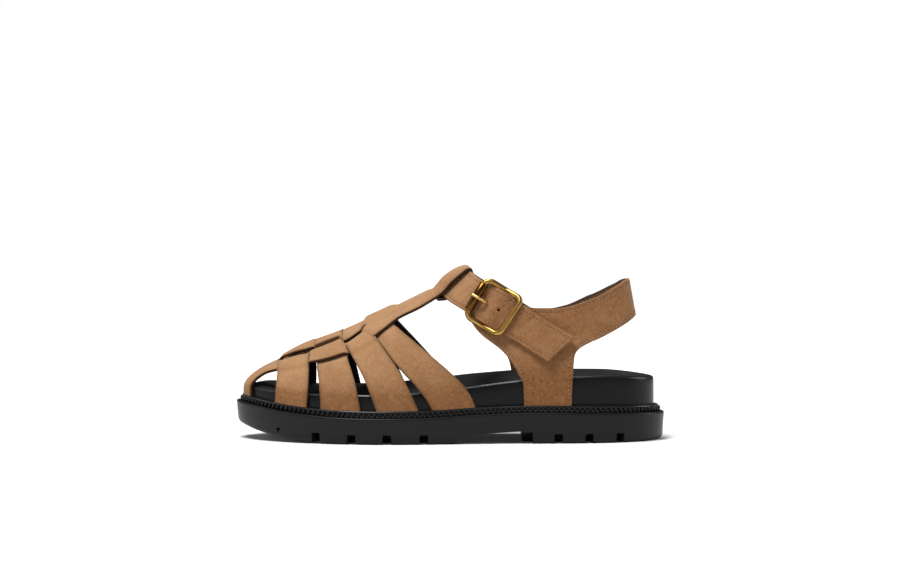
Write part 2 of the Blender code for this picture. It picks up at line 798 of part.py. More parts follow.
def loop_rows(columns):
    """Rows that carry the T-bar over the ankle strap, round its top edge and back under the T-bar."""
    path = [(across, LOOP_CLEAR + puff) for across, puff in LOOP_FACE]
    for angle in LOOP_ANGLES:
        a = math.radians(angle)
        path.append((LOOP_EDGE + LOOP_TURN * math.cos(a), 0.4 + (LOOP_TURN - 0.2) * math.sin(a)))
    path += [(across, -LOOP_CLEAR) for across in LOOP_BEHIND]
    made = []
    for w, n in path:
        runs = INSTEP_RUN + LOOP_WIDTH * (np.arange(columns) / (columns - 1) - 0.5)
        made.append([strap_point(s, w, n) for s in runs])
    return np.array(made)


def foot_pocket(name, rows, home):
    """A strap's foot grown by the clearance: the pocket it takes in the welt."""
    return as_cutter(thicken(object_of(name, sheet(rows), home), SUEDE + 2 * GAP))


def pockets(home):
    """Pockets of the welt for the cross straps, the toe end of the centre strip and the stems."""
    made = []
    for name in STRAPS:
        grid = strap_grid(name, rows=61, spread=GAP)
        for part, rows in (("outer", grid[:6].copy()), ("inner", grid[:-7:-1].copy())):
            rows[0, :, 2] -= GAP
            made.append(foot_pocket(f"pocket_{name}_{part}", rows, home))
    toe = strip_grid()[0][:4].copy()
    toe[0, :, 2] -= GAP
    for end, beside in ((0, 1), (-1, -2)):
        out = toe[:, end] - toe[:, beside]
        toe[:, end] += GAP * out / np.linalg.norm(out, axis=1)[:, None]
    made.append(foot_pocket("pocket_toe", toe, home))
    for side, rows, name in ((-1, OUTER_SIDE, "outer"), (1, INNER_SIDE, "inner")):
        xs = [row[0] for row in rows if row[1] == STEM_FOOT]
        grid = np.zeros((3, 5, 3))
        for j, z in enumerate((STEM_FOOT - GAP, STEM_FOOT + 2.0, STEM_FOOT + 4.5)):
            for k in range(5):
                x = xs[0] - GAP + k / 4 * (xs[-1] - xs[0] + 2 * GAP)
                grid[j, k] = (x, ankle_y(side, x, z) + side * HALF, z)
        made.append(foot_pocket(f"pocket_stem_{name}", grid, home))
    return made


def notch_box(x, side, width, height, reach, home):
    """A lug notch that runs in from the wall, wider at its mouth."""
    place = edge_y(side, 0.0, x)
    near = np.argmin(np.hypot(DENSE[:, 0] - x, DENSE[:, 1] - place))
    inward = INWARD[near]
    base = float(tread_z(x))
    build = bmesh.new()
    bmesh.ops.create_cube(build, size=1.0)
    for vert in build.verts:
        wide = width * (1.0 if vert.co.z > 0 else 1.35)
        vert.co = Vector((vert.co.x * wide, vert.co.y * (reach + 6.0), height if vert.co.z > 0 else -6.0))
    turn = math.atan2(inward[1], inward[0]) - math.pi / 2
    middle = DENSE[near] + (reach / 2 - 3.0) * inward
    spot = Matrix.Translation((middle[0], middle[1], base)) @ Matrix.Rotation(turn, 4, "Z")
    build.transform(Matrix.Scale(MM, 4) @ spot)
    return as_cutter(object_of(f"notch_{x:.0f}_{'outer' if side < 0 else 'inner'}", mesh_of(build), home))


def arch_wedge(side, home):
    """The slanted cut under the arch, rising from the front and ending at the heel breast."""
    build = bmesh.new()
    rows = []
    for x in np.linspace(ARCH_FROM, ARCH_TO, 8):
        place = edge_y(side, 0.0, x)
        near = int(np.argmin(np.hypot(DENSE[:, 0] - x, DENSE[:, 1] - place)))
        rise = ARCH_CUT * float(wave((x - ARCH_FROM + 3.0) / 22.0))
        corners = ((-4.0, -3.0), (-4.0, rise + 2.9), (rise + 2.9, -3.0))
        made = []
        for inset, z in corners:
            flat = DENSE[near] + inset * INWARD[near]
            made.append(build.verts.new(Vector((flat[0], flat[1], z)) * MM))
        rows.append(made)
    for low, high in zip(rows, rows[1:]):
        for i in range(3):
            j = (i + 1) % 3
            build.faces.new((low[i], low[j], high[j], high[i]))
    build.faces.new(rows[0])
    build.faces.new(rows[-1])
    return as_cutter(object_of(f"arch_{'outer' if side < 0 else 'inner'}", mesh_of(build), home))


def wire(name, points, radius, home, paint, closed=False, sides=2):
    """A round wire along points: a curve with a bevel, turned into a mesh."""
    curve = bpy.data.curves.new(name, "CURVE")
    curve.dimensions = "3D"
    curve.bevel_depth = radius * MM
    curve.bevel_resolution = sides
    curve.use_fill_caps = not closed
    line = curve.splines.new("POLY")
    line.points.add(len(points) - 1)
    for spot, point in zip(line.points, points):
        spot.co = (*(np.asarray(point) * MM), 1.0)
    line.use_cyclic_u = closed
    shaped = bpy.data.objects.new(name + "_curve", curve)
    bpy.context.scene.collection.objects.link(shaped)
    mesh = bpy.data.meshes.new_from_object(shaped.evaluated_get(bpy.context.evaluated_depsgraph_get()))
    bpy.data.objects.remove(shaped, do_unlink=True)
    build = bmesh.new()
    build.from_mesh(mesh)
    bmesh.ops.remove_doubles(build, verts=build.verts, dist=0.00001)
    mesh.materials.clear()
    return object_of(name, mesh_of(build), home, paint)


def buckle_n(a):
    """Height of the buckle's rails along the strap: low at the centre bar, highest at the roller."""
    end = ROLLER_BAR_N if a > 0 else END_BAR_N
    return CENTRE_BAR_N + (end - CENTRE_BAR_N) * min(1.0, abs(a) / (BUCKLE_LONG / 2 - WIRE / 2)) ** 1.4


def buckle(parts, tools, gold, roller_gold, prong_gold):
    """Frame with its centre bar, the roller on the bar nearest the instep, and the prong."""
    half_a = BUCKLE_LONG / 2 - WIRE / 2
    half_w = BUCKLE_WIDE / 2 - WIRE / 2
    places = []
    for sign_a, sign_w, first in ((1, 1, 0), (-1, 1, 90), (-1, -1, 180), (1, -1, 270)):
        for angle in (0, 30, 60, 90):
            turn = math.radians(first + angle)
            a = sign_a * (half_a - CORNER) + CORNER * math.cos(turn)
            w = sign_w * (half_w - CORNER) + CORNER * math.sin(turn)
            places.append((a, w))
        if sign_w * sign_a > 0:
            places += [(a, w) for a in np.linspace(places[-1][0], -places[-1][0], 7)[1:-1]]
    line = [strap_base(BUCKLE_RUN + a, w, buckle_n(a)) for a, w in places]
    frame = wire("buckle_frame", line, WIRE / 2, parts, gold, True)
    bar = [strap_base(BUCKLE_RUN, w, CENTRE_BAR_N) for w in (-half_w, half_w)]
    boolean(frame, as_cutter(wire("centre_bar", bar, CENTRE_BAR / 2, tools, None)), "UNION")

    profile = bmesh.new()
    inner, outer = ROLLER_OUTER / 2 - ROLLER_WALL, ROLLER_OUTER / 2
    corners = ((inner, -1), (outer, -1), (outer, 1), (inner, 1))
    ring_verts = [profile.verts.new((r * MM, 0.0, end * ROLLER_LONG / 2 * MM)) for r, end in corners]
    for i in range(4):
        profile.edges.new((ring_verts[i], ring_verts[(i + 1) % 4]))
    mesh = bpy.data.meshes.new("roller")
    profile.to_mesh(mesh)
    profile.free()
    roller = object_of("buckle_roller", mesh, parts, roller_gold)
    turned = roller.modifiers.new("turned", "SCREW")
    turned.steps = 20
    turned.render_steps = 20
    turned.use_merge_vertices = True
    turned.merge_threshold = 0.00001
    turned.use_normal_calculate = True
    turned.use_normal_flip = True
    along, across, out = strap_axes(BUCKLE_RUN + half_a)
    spot = strap_base(BUCKLE_RUN + half_a, 0.0, ROLLER_BAR_N) * MM
    axes = Matrix(np.column_stack([out, np.cross(across, out), across]).tolist()).to_4x4()
    roller.matrix_world = Matrix.Translation(spot) @ axes

    path = curve_of(PRONG_LINE, PRONG_COLUMNS, "along", "out")
    places = np.linspace(PRONG_FOOT, PRONG_LINE[-1][0], 24)[[0, 1, 2, 4, 6, 9, 12, 15, 18, 21, 23]]
    line = [strap_base(BUCKLE_RUN + a, 0.0, float(path(a))) for a in places]
    wire("buckle_prong", line, PRONG / 2, parts, prong_gold)
    hole = [strap_base(BUCKLE_RUN + 3.0, 0.0, n) for n in (-2.5, 5.0)]
    return as_cutter(wire("prong_hole", hole, PRONG / 2 + 0.7, tools, None, sides=1))


def main():
    for made in list(bpy.data.objects):
        bpy.data.objects.remove(made, do_unlink=True)
    parts = collection(NAME)
    tools = collection(NAME + "_cutters")
    rubber = material("moulded_black_rubber", (0.012, 0.012, 0.012), 0.6)
    welt_rubber = material("ribbed_black_rubber", (0.014, 0.014, 0.014), 0.5)
    bed_paint = material("moulded_black_footbed", (0.011, 0.011, 0.012), 0.65)
    cover_paint = material("black_insole_cover", (0.013, 0.013, 0.014), 0.7)
    vamp_suede = material("brushed_tan_suede", (0.43, 0.25, 0.12), 0.95)
    quarter_suede = material("brushed_tan_suede_quarter", (0.43, 0.25, 0.12), 0.95)
    strap_suede = material("brushed_tan_suede_strap", (0.43, 0.25, 0.12), 0.95)
    gold = material("antique_gold_plate", (0.55, 0.33, 0.07), 0.3, 1.0)
    roller_gold = material("antique_gold_tube", (0.55, 0.33, 0.07), 0.3, 1.0)
    prong_gold = material("antique_gold_wire", (0.55, 0.33, 0.07), 0.3, 1.0)
    root = bpy.data.objects.new(NAME, None)
    parts.objects.link(root)

    rings = [
        ring(2.4, lambda x, y: tread_z(x)),
        ring(0.9, lambda x, y: tread_z(x) + 1.6),
        ring(0.0, lambda x, y: ledge_z(x) - 5.6),
        ring(0.5, lambda x, y: ledge_z(x) - SEAT_DROP),
        ring(5.0, lambda x, y: ledge_z(x) - SEAT_DROP),
    ]
    outsole = object_of("outsole", loft(rings, lambda x, y: tread_z(x), seat_z), parts, rubber)
    for side in (-1, 1):
        boolean(outsole, arch_wedge(side, tools), "DIFFERENCE")
        boolean(outsole, notch_box(BREAST_X, side, BREAST_WIDTH, BREAST_HEIGHT, 18.0, tools), "DIFFERENCE")
        for x, width, height, reach in NOTCHES:
            boolean(outsole, notch_box(x, side, width, height, reach, tools), "DIFFERENCE")

    welt_rings = [
        ring(BED_INSET - GAP, lambda x, y: seat_z(x, y) + GAP),
        ring(RIB_INSET + 0.4, lambda x, y: seat_z(x, y) + GAP),
        ring(RIB_INSET, lambda x, y: ledge_z(x) - 3.4),
        ring(RIB_INSET, lambda x, y: ledge_z(x) - 1.7),
        ring(RIB_INSET + 0.9, lambda x, y: ledge_z(x) - 1.0),
        ring(RIB_INSET + 1.2, lambda x, y: ledge_z(x) - 0.3),
        ring(RIB_INSET + 1.8, lambda x, y: ledge_z(x)),
        ring(BED_INSET - GAP, lambda x, y: ledge_z(x)),
    ]
    build = bmesh.new()
    rows = [[build.verts.new(p * MM) for p in points] for points in welt_rings]
    for low, high in zip(rows, rows[1:] + rows[:1]):
        for i in range(len(low)):
            j = (i + 1) % len(low)
            build.faces.new((low[i], low[j], high[j], high[i]))
    welt = object_of("welt", mesh_of(build), parts, welt_rubber)
    for pocket in pockets(tools):
        boolean(welt, pocket, "DIFFERENCE")

    high = 0.1
    low = high + COVER
    seat = low + GAP
    bed_rings = [
        ring(BED_INSET + 0.3, lambda x, y: seat_z(x, y) + GAP),
        ring(BED_INSET, lambda x, y: seat_z(x, y) + 1.5),
        ring(BED_INSET, lambda x, y: rim_z(x, y) - 1.8),
        ring(BED_INSET + 0.5, lambda x, y: rim_z(x, y) - 0.6),
        ring(BED_INSET + 1.7, lambda x, y: rim_z(x, y)),
        ring(BED_INSET + 2.6, lambda x, y: bed_z(x, y)),
        ring(BED_INSET + 2.7, lambda x, y: bed_z(x, y) - seat),
    ]
    object_of(
        "footbed",
        loft(bed_rings, lambda x, y: seat_z(x, y) + GAP, lambda x, y: bed_z(x, y) - seat, 2, ACROSS),
        parts,
        bed_paint,
    )
    cover_rings = [
        ring(BED_INSET + 3.0, lambda x, y: bed_z(x, y) - low),
        ring(BED_INSET + 3.0, lambda x, y: bed_z(x, y) - high),
    ]
    object_of(
        "insole",
        loft(cover_rings, lambda x, y: bed_z(x, y) - low, lambda x, y: bed_z(x, y) - high, ACROSS, ACROSS),
        parts,
        cover_paint,
    )

    strip, slit, side_columns = strip_grid()
    whole = np.concatenate([strip, loop_rows(strip.shape[1])])
    vamp = object_of(
        "vamp",
        sheet(whole, lambda j, k: k == side_columns - 1 and j < len(slit) - 1 and slit[j] and slit[j + 1]),
        parts,
        vamp_suede,
    )
    thicken(vamp)
    for name in STRAPS:
        strap = as_cutter(thicken(object_of(f"strap_{name}", sheet(strap_grid(name)), tools)))
        boolean(vamp, strap, "UNION")
    thicken(object_of("quarter", sheet(quarter_grid()), parts, quarter_suede))
    strap = thicken(object_of("ankle_strap", sheet(ankle_strap_grid()), parts, strap_suede))
    boolean(strap, buckle(parts, tools, gold, roller_gold, prong_gold), "DIFFERENCE")
    for made in parts.objects:
        if made is not root:
            made.parent = root


main()
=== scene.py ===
"""Roman sandal: tan suede straps on a black lugged sole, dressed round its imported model.

The toe points to -X, the outer side of the foot is -Y, +Z is up and the ground is z = 0.
Tables are in millimetres and become metres where a mesh is made.
"""
import json
import math

import bmesh
import bpy
import numpy as np
from bpy.props import FloatProperty, FloatVectorProperty, PointerProperty
from mathutils import Matrix, Vector
from mathutils.kdtree import KDTree

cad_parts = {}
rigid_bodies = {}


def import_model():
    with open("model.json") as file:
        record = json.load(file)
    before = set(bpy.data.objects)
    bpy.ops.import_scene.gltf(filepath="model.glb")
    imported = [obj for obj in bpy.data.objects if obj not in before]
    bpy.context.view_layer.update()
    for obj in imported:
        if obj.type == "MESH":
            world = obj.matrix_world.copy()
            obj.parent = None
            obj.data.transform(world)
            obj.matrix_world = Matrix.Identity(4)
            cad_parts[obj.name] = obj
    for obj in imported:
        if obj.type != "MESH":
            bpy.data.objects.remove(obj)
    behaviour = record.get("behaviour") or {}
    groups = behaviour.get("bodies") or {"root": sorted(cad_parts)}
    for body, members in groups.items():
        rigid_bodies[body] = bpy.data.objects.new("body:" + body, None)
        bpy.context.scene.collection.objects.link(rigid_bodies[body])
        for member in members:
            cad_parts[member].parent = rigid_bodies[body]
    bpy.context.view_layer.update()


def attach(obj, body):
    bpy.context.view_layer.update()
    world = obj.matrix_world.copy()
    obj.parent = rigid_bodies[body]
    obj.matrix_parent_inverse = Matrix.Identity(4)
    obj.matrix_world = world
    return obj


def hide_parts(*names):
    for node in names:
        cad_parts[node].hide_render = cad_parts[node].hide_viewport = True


bl_info = {
    "name": "Roman sandal",
    "version": (1, 0, 0),
    "blender": (4, 5, 0),
    "location": "View3D > Sidebar > Sandal",
    "description": "Builds the visible pieces of a suede roman sandal on its packed model",
    "category": "Add Mesh",
}

for old in list(bpy.data.objects):
    bpy.data.objects.remove(old, do_unlink=True)
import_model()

MM = 0.001
BODY = "root"

# The leather, the last and the sole.
SUEDE = 2.0
GAP = 0.3
HALF = SUEDE / 2
RIB_INSET = 2.6
BED_INSET = 6.5
TUCK = 2.4
SEAT_DROP = 4.3
RIM_EASE = 60.0
BED_LIP = 2.5
BED_SLOPE = 19.0
COVER = 1.2
SHOULDER_UP = 0.8
SHOULDER_UNDER = 2.0
SECTION_STEPS = 40
DROP_STEPS = 7
OUTLINE_WRAP = 4
OUTLINE_STEPS = 2400
RIM_SKIP = 8

OUTLINE_COLUMNS = ("place", "x", "y")
OUTLINE = (
    ("toe tip", -135.2, 9.0),
    ("outer toe", -123.5, -15.5),
    ("little toe", -90.0, -39.5),
    ("outer ball", -40.0, -51.0),
    ("outer waist", 28.0, -42.8),
    ("outer heel", 92.0, -38.2),
    ("outer heel corner", 122.0, -24.5),
    ("heel back", 134.9, 0.0),
    ("inner heel corner", 122.5, 23.5),
    ("inner heel", 92.0, 36.0),
    ("inner waist", 26.0, 35.0),
    ("inner ball", -60.0, 51.0),
    ("inner toe", -112.0, 40.0),
)
PROFILE_COLUMNS = ("x", "tread", "ledge", "rim_outer", "rim_inner", "bed_depth")
PROFILE = (
    (-135.2, 10.8, 28.6, 31.6, 32.6, 1.0),
    (-117.0, 5.4, 25.6, 32.0, 34.9, 2.2),
    (-98.0, 2.3, 23.0, 30.9, 32.8, 3.0),
    (-75.0, 0.5, 21.1, 30.4, 31.7, 3.4),
    (-52.0, 0.0, 20.4, 30.4, 32.0, 3.6),
    (-15.0, 0.0, 20.8, 31.8, 35.4, 4.0),
    (18.0, 0.0, 22.5, 35.8, 39.6, 4.8),
    (50.0, 0.0, 23.4, 39.4, 41.8, 5.6),
    (95.0, 0.0, 23.0, 41.3, 42.2, 6.2),
    (120.0, 0.0, 22.3, 40.2, 40.6, 4.0),
    (134.9, 0.6, 21.9, 38.8, 38.8, 3.0),
)
RIDGE_COLUMNS = ("x", "ridge_y", "ridge_z", "outer_full", "inner_full")
RIDGE = (
    (-129.8, 9.0, 33.0, 1.8, 1.9),
    (-126.8, 9.4, 37.6, 1.75, 1.9),
    (-121.5, 10.0, 41.9, 1.65, 1.9),
    (-115.0, 11.0, 45.6, 1.6, 2.0),
    (-107.0, 12.0, 49.4, 1.55, 2.0),
    (-95.0, 13.0, 55.9, 1.5, 2.1),
    (-76.0, 13.5, 63.6, 1.5, 2.1),
    (-56.0, 12.5, 72.2, 1.5, 2.1),
    (-40.0, 10.0, 79.6, 1.5, 2.0),
    (-24.0, 7.0, 87.4, 1.5, 1.9),
    (-12.0, 5.0, 93.4, 1.5, 1.8),
    (20.0, 3.0, 109.0, 1.5, 1.7),
)

# Centre strip and cross straps of the vamp.
STRIP_COLUMNS = ("x", "outer_edge", "slit", "inner_edge")
STRIP = (
    (-131.0, -5.5, 9.0, 24.0),
    (-118.0, -5.2, 8.0, 20.5),
    (-108.0, -8.8, 6.0, 18.5),
    (-97.0, -14.4, 1.2, 18.0),
    (-87.0, -18.8, -3.6, 17.5),
    (-75.0, -21.8, -3.3, 16.5),
    (-70.0, -22.3, -2.9, 15.8),
    (-66.6, -22.55, -9.4, 15.2),
    (-65.0, -22.6, -9.6, 15.0),
    (-55.0, -21.6, -4.8, 13.8),
    (-46.0, -19.0, -4.0, 13.0),
    (-31.0, -12.6, -1.0, 11.5),
    (-22.0, -10.8, 0.4, 11.4),
    (-13.0, -9.4, 1.2, 11.6),
)
SLIT_FROM = -108.4
SLIT_TO = -51.5
SLIT_BRIDGE = (-69.6, -66.9)
SLIT_SHARE = 0.045
STRIP_GIRTH = (0.36, 0.52, 0.62)
STRIP_ROWS = 190
STRIP_BUNCH = 0.35
STRIP_START = 1.25
STRAND_WIDE = 14.0
STRAND_MIDDLE = 3
FOOT_ROWS = 8
TOE_GAP = 0.02
TOE_REACH = -110.0
TOE_STEPS = 1500
JOIN_ROWS = 14
JOIN_STEP = 4
VAMP_CORE = (-70.0, 5.0, 30.0)
VAMP_WEAR = 0.6

# How the straps and strands turn over and under each other.
CROSS_RUN = 4.0
CROSS_IN = 1.0
EASE_OUTER = 16.0
EASE_STEP = 11.0
WEAVE_EASE = 5.0
DIP_RUN = 8.0
RISE_RUN = 2.6
RISE_FADE = 0.5
STRAP_ROWS = 150
STRAP_WIDE = 19.0
STRAP_MIDDLE = 8
GIRTH_BUNCH = 0.09

# The rearmost strap's front edge tucks under the strap before it.
REAR_STRAP = "D"
TUCK_DEEP = 0.5
TUCK_FROM = 1.5
TUCK_SLOPE = 4.0
TUCK_Y = -25.0
TUCK_RUN = 14.0

# Painted shade on a strap where it comes up through the slit: it stands for the shadow in the gap beside the
# strand's edge.
SLIT_SHADE_ENDS = 0.6
SLIT_SHADE_IN = 1.3
SLIT_SHADE_FROM = 0.6
SLIT_SHADE_RUN = 2.9
SLIT_SHADE_DARK = 1.0

# T-bar and its loop: places across the ankle strap, in mm, with the puff or the height there.
STRIP_END = -13.0
LOOP_WIDTH = 22.4
LOOP_CLEAR = SUEDE + 0.15
LOOP_STIFF = 0.2
LOOP_ARCH = 0.5
LOOP_EDGE = 10.0
LOOP_TURN = 2.4
LOOP_MID = 0.4
LOOP_FLAT = 0.2
LOOP_STEP = 1.2
LOOP_FACE = ((-10.0, 1.6), (-4.5, 2.8), (2.5, 2.7), (8.0, 1.6))
LOOP_ANGLES = (62, 36, 10, -16, -42, -68, -90)
LOOP_BEHIND = ((3.0, -LOOP_CLEAR), (-5.0, -LOOP_CLEAR), (-11.5, -1.8), (-14.0, 0.3), (-16.2, 2.1))

# Front and rear edges of the cross straps, by the share of the girth from the outer welt.
STRAP_COLUMNS = ("girth", "front", "rear")
STRAPS = {
    "A": (
        (0.0, -108.6, -88.4),
        (0.12, -107.8, -87.4),
        (0.25, -107.7, -87.5),
        (0.4, -107.8, -87.2),
        (0.55, -107.3, -87.0),
        (0.78, -106.5, -86.5),
        (1.0, -106.5, -87.0),
    ),
    "B": (
        (0.0, -79.3, -54.2),
        (0.12, -80.4, -58.0),
        (0.25, -82.8, -63.0),
        (0.4, -84.8, -66.5),
        (0.55, -85.5, -67.8),
        (0.78, -82.5, -62.5),
        (1.0, -78.0, -55.0),
    ),
    "C": (
        (0.0, -44.3, -18.5),
        (0.12, -51.5, -28.0),
        (0.25, -59.8, -39.6),
        (0.4, -66.6, -49.2),
        (0.55, -67.6, -53.5),
        (0.78, -58.0, -40.0),
        (1.0, -47.0, -23.0),
    ),
    "D": (
        (0.0, -10.0, 16.2),
        (0.05, -14.9, 12.6),
        (0.12, -24.4, 2.2),
        (0.2, -34.7, -11.8),
        (0.25, -39.2, -19.6),
        (0.4, -49.6, -35.8),
        (0.55, -52.8, -39.4),
        (0.67, -47.8, -32.8),
        (0.78, -39.2, -19.2),
        (0.88, -28.4, -4.6),
        (1.0, -12.5, 13.0),
    ),
}
# How far each strap, and each strand over or under it, lies off the last: shares of the weave. The outer
# strand's level changes by the tilt from its outer edge to the slit.
LEVEL_COLUMNS = ("strap_outer", "strap_inner", "strand_outer", "strand_inner", "strand_tilt")
LEVELS = {
    "A": (1.0, -1.6, -1.0, 1.2, 0.0),
    "B": (-1.6, 0.8, 0.8, -1.5, -0.8),
    "C": (1.0, -2.4, -1.0, 0.0, 0.0),
    "D": (-0.7, -0.7, 1.5, 1.5, 0.0),
}

# Ankle form, quarter and ankle strap.
ANKLE_COLUMNS = ("z", "front_x", "back_x", "outer_half", "inner_half")
ANKLE = (
    (18.0, -60.0, 127.6, 33.8, 31.8),
    (40.0, -52.0, 127.4, 33.8, 31.8),
    (55.0, -45.0, 122.6, 33.0, 31.2),
    (70.0, -28.0, 117.0, 30.8, 30.0),
    (82.0, -13.0, 114.4, 28.8, 28.6),
    (94.0, 1.6, 112.2, 27.6, 27.6),
    (106.0, 17.0, 110.0, 27.0, 27.0),
)
ANKLE_X = 75.0
ANKLE_Y = 1.0
ANKLE_BACK_FULL = 2.25
ANKLE_FRONT_FULL = 2.3
STEM_FOOT = 20.0
SIDE_COLUMNS = ("x", "low", "high")
OUTER_SIDE = (
    (13.0, 74.6, 95.6),
    (16.5, 69.6, 94.0),
    (20.5, 65.6, 92.2),
    (24.4, 62.6, 90.8),
    (29.4, 59.0, 88.8),
    (33.2, 55.6, 87.4),
    (38.9, 48.4, 85.7),
    (42.4, 42.0, 84.9),
    (45.2, 36.0, 84.4),
    (45.9, STEM_FOOT, 84.2),
    (55.0, STEM_FOOT, 82.8),
    (65.0, STEM_FOOT, 82.6),
    (74.6, STEM_FOOT, 84.2),
    (75.4, 38.0, 84.4),
    (77.0, 54.0, 84.9),
    (80.0, 58.0, 85.9),
    (88.0, 62.5, 89.0),
)
INNER_SIDE = (
    (20.0, 67.5, 92.6),
    (28.0, 60.8, 89.0),
    (32.1, 56.8, 87.3),
    (35.6, 52.0, 86.2),
    (38.7, 44.5, 85.5),
    (39.8, 36.0, 85.3),
    (40.4, STEM_FOOT, 85.2),
    (54.0, STEM_FOOT, 80.8),
    (64.0, STEM_FOOT, 80.7),
    (73.4, STEM_FOOT, 82.5),
    (74.2, 40.0, 82.7),
    (77.0, 55.0, 83.7),
    (80.0, 58.0, 85.0),
    (88.0, 62.5, 89.0),
)
BACK_COLUMNS = ("turn", "low", "high")
BACK = (
    (0.0, 62.5, 89.0),
    (30.0, 70.0, 95.2),
    (45.0, 73.0, 97.6),
    (60.0, 75.5, 99.7),
    (75.0, 77.2, 100.4),
    (90.0, 78.0, 100.4),
)
BACK_FROM = 88.0
BACK_RUN = 84.0
ANKLE_STRAP_COLUMNS = ("place", "x", "side", "y", "z", "lift", "width", "rake")
ANKLE_STRAP = (
    ("tail end", 68.4, -1, None, 57.9, 2.2, 21.5, 32.0),
    ("tail", 48.0, -1, None, 70.3, 1.0, 21.0, 32.0),
    ("buckle", 28.5, -1, None, 82.6, 1.6, 23.6, 32.0),
    ("outer shoulder", 13.5, -1, -21.5, 91.2, 0.0, 22.0, 38.0),
    ("outer loop", 5.4, -1, -8.0, 96.6, 0.0, 23.0, 47.0),
    ("instep", 2.0, 0, 2.5, 99.4, 0.0, 22.5, 51.0),
    ("inner loop", 5.4, 1, 13.0, 96.6, 0.0, 23.0, 47.0),
    ("inner shoulder", 13.5, 1, 25.0, 91.2, 0.0, 22.0, 38.0),
    ("inner side", 28.5, 1, None, 83.0, 0.4, 21.0, 32.0),
    ("sewn end", 50.0, 1, None, 70.0, 0.0, 21.0, 32.0),
)
TAIL_SLANT = 15.0
TAIL_RUN = 15.0
LEAN_REACH = 9.0
STRAP_STEP = 0.5
QUARTER_STEP = 0.6
STRAP_OUT = SUEDE + GAP + HALF + 0.3

# Notches between the lugs: x, width, height, reach inwards, and the height and width share of their foot.
NOTCH_OPEN = (-6.0, 1.35)
NOTCHES = (
    (-107.0, 3.2, 5.5, 12.0, (2.2, 0.1)),
    (-83.0, 5.0, 5.9, 15.0, NOTCH_OPEN),
    (-60.7, 5.0, 5.9, 16.0, NOTCH_OPEN),
    (-38.7, 5.0, 5.9, 16.0, NOTCH_OPEN),
    (-15.8, 5.0, 5.9, 16.0, NOTCH_OPEN),
    (47.6, 6.4, 7.0, 18.0, NOTCH_OPEN),
    (67.0, 4.8, 5.9, 14.0, NOTCH_OPEN),
    (86.2, 4.8, 5.9, 14.0, NOTCH_OPEN),
    (105.7, 4.8, 5.9, 13.0, NOTCH_OPEN),
)

# The cut-away under the arch.
ARCH_FROM = 3.0
ARCH_TO = 45.0
ARCH_FRONT = 5.2
ARCH_REAR = 7.7
ARCH_EASE = 6.0
ARCH_SIDE = 70
ARCH_UNDER = -3
ARCH_STEPS = 30

# Buckle.
BUCKLE_SHIFT = 1.2
BUCKLE_LONG = 27.4
BUCKLE_WIDE = 30.2
WIRE = 3.6
CORNER = 4.0
HALF_LONG = BUCKLE_LONG / 2 - WIRE / 2
HALF_WIDE = BUCKLE_WIDE / 2 - WIRE / 2
WIRE_FLAT = 0.92
RAIL_CURVE = 1.4
END_BAR_N = 2.9
ROLLER_BAR_N = 3.9
CENTRE_BAR_N = -0.9
CENTRE_BAR = 2.2
STRAP_HUMP = 1.5
HUMP_RUN = 5.0
ROLLER_OUTER = 5.3
ROLLER_LONG = 19.2
ROLLER_WALL = 0.6
PRONG = 2.0
PRONG_OVER = ROLLER_BAR_N + ROLLER_OUTER / 2 + GAP + PRONG / 2
PRONG_COLUMNS = ("along", "out")
PRONG_LINE = (
    (4.7, -1.5),
    (4.9, 0.4),
    (5.4, 2.8),
    (6.8, 4.9),
    (8.8, PRONG_OVER - 0.4),
    (HALF_LONG, PRONG_OVER),
    (HALF_LONG + 1.6, PRONG_OVER - 0.5),
)

# Columns laid close to a cut edge, in mm from it.
EDGE_STEPS = (0.0, 0.35, 0.8, 1.4, 2.0, 2.6, 3.4)

# Places on each side of a ring of the sole, and how evenly they lie.
RING_SIDE = 120
RING_EVEN = 0.55


def linear(code):
    """An sRGB hex colour as linear red, green and blue."""
    parts = [int(code[i:i + 2], 16) / 255 for i in (1, 3, 5)]
    return tuple(c / 12.92 if c <= 0.04045 else ((c + 0.055) / 1.055) ** 2.4 for c in parts)


def column(rows, columns, name):
    """One named column of a table."""
    return np.array([row[columns.index(name)] for row in rows], float)


def monotone(xs, ys):
    """A smooth curve through the points that does not overshoot them."""
    xs = np.asarray(xs, float)
    ys = np.asarray(ys, float)
    step = np.diff(xs)
    rise = np.diff(ys) / step
    slope = np.zeros_like(ys)
    slope[0] = rise[0]
    slope[-1] = rise[-1]
    for i in range(1, len(xs) - 1):
        if rise[i - 1] * rise[i] > 0:
            a = 2 * step[i] + step[i - 1]
            b = step[i] + 2 * step[i - 1]
            slope[i] = (a + b) / (a / rise[i - 1] + b / rise[i])

    def value(x):
        x = np.clip(np.asarray(x, float), xs[0], xs[-1])
        i = np.clip(np.searchsorted(xs, x) - 1, 0, len(step) - 1)
        t = (x - xs[i]) / step[i]
        keep = (1 + 2 * t) * (1 - t) ** 2 * ys[i] + t * t * (3 - 2 * t) * ys[i + 1]
        return keep + step[i] * (t * (1 - t) ** 2 * slope[i] + t * t * (t - 1) * slope[i + 1])

    return value


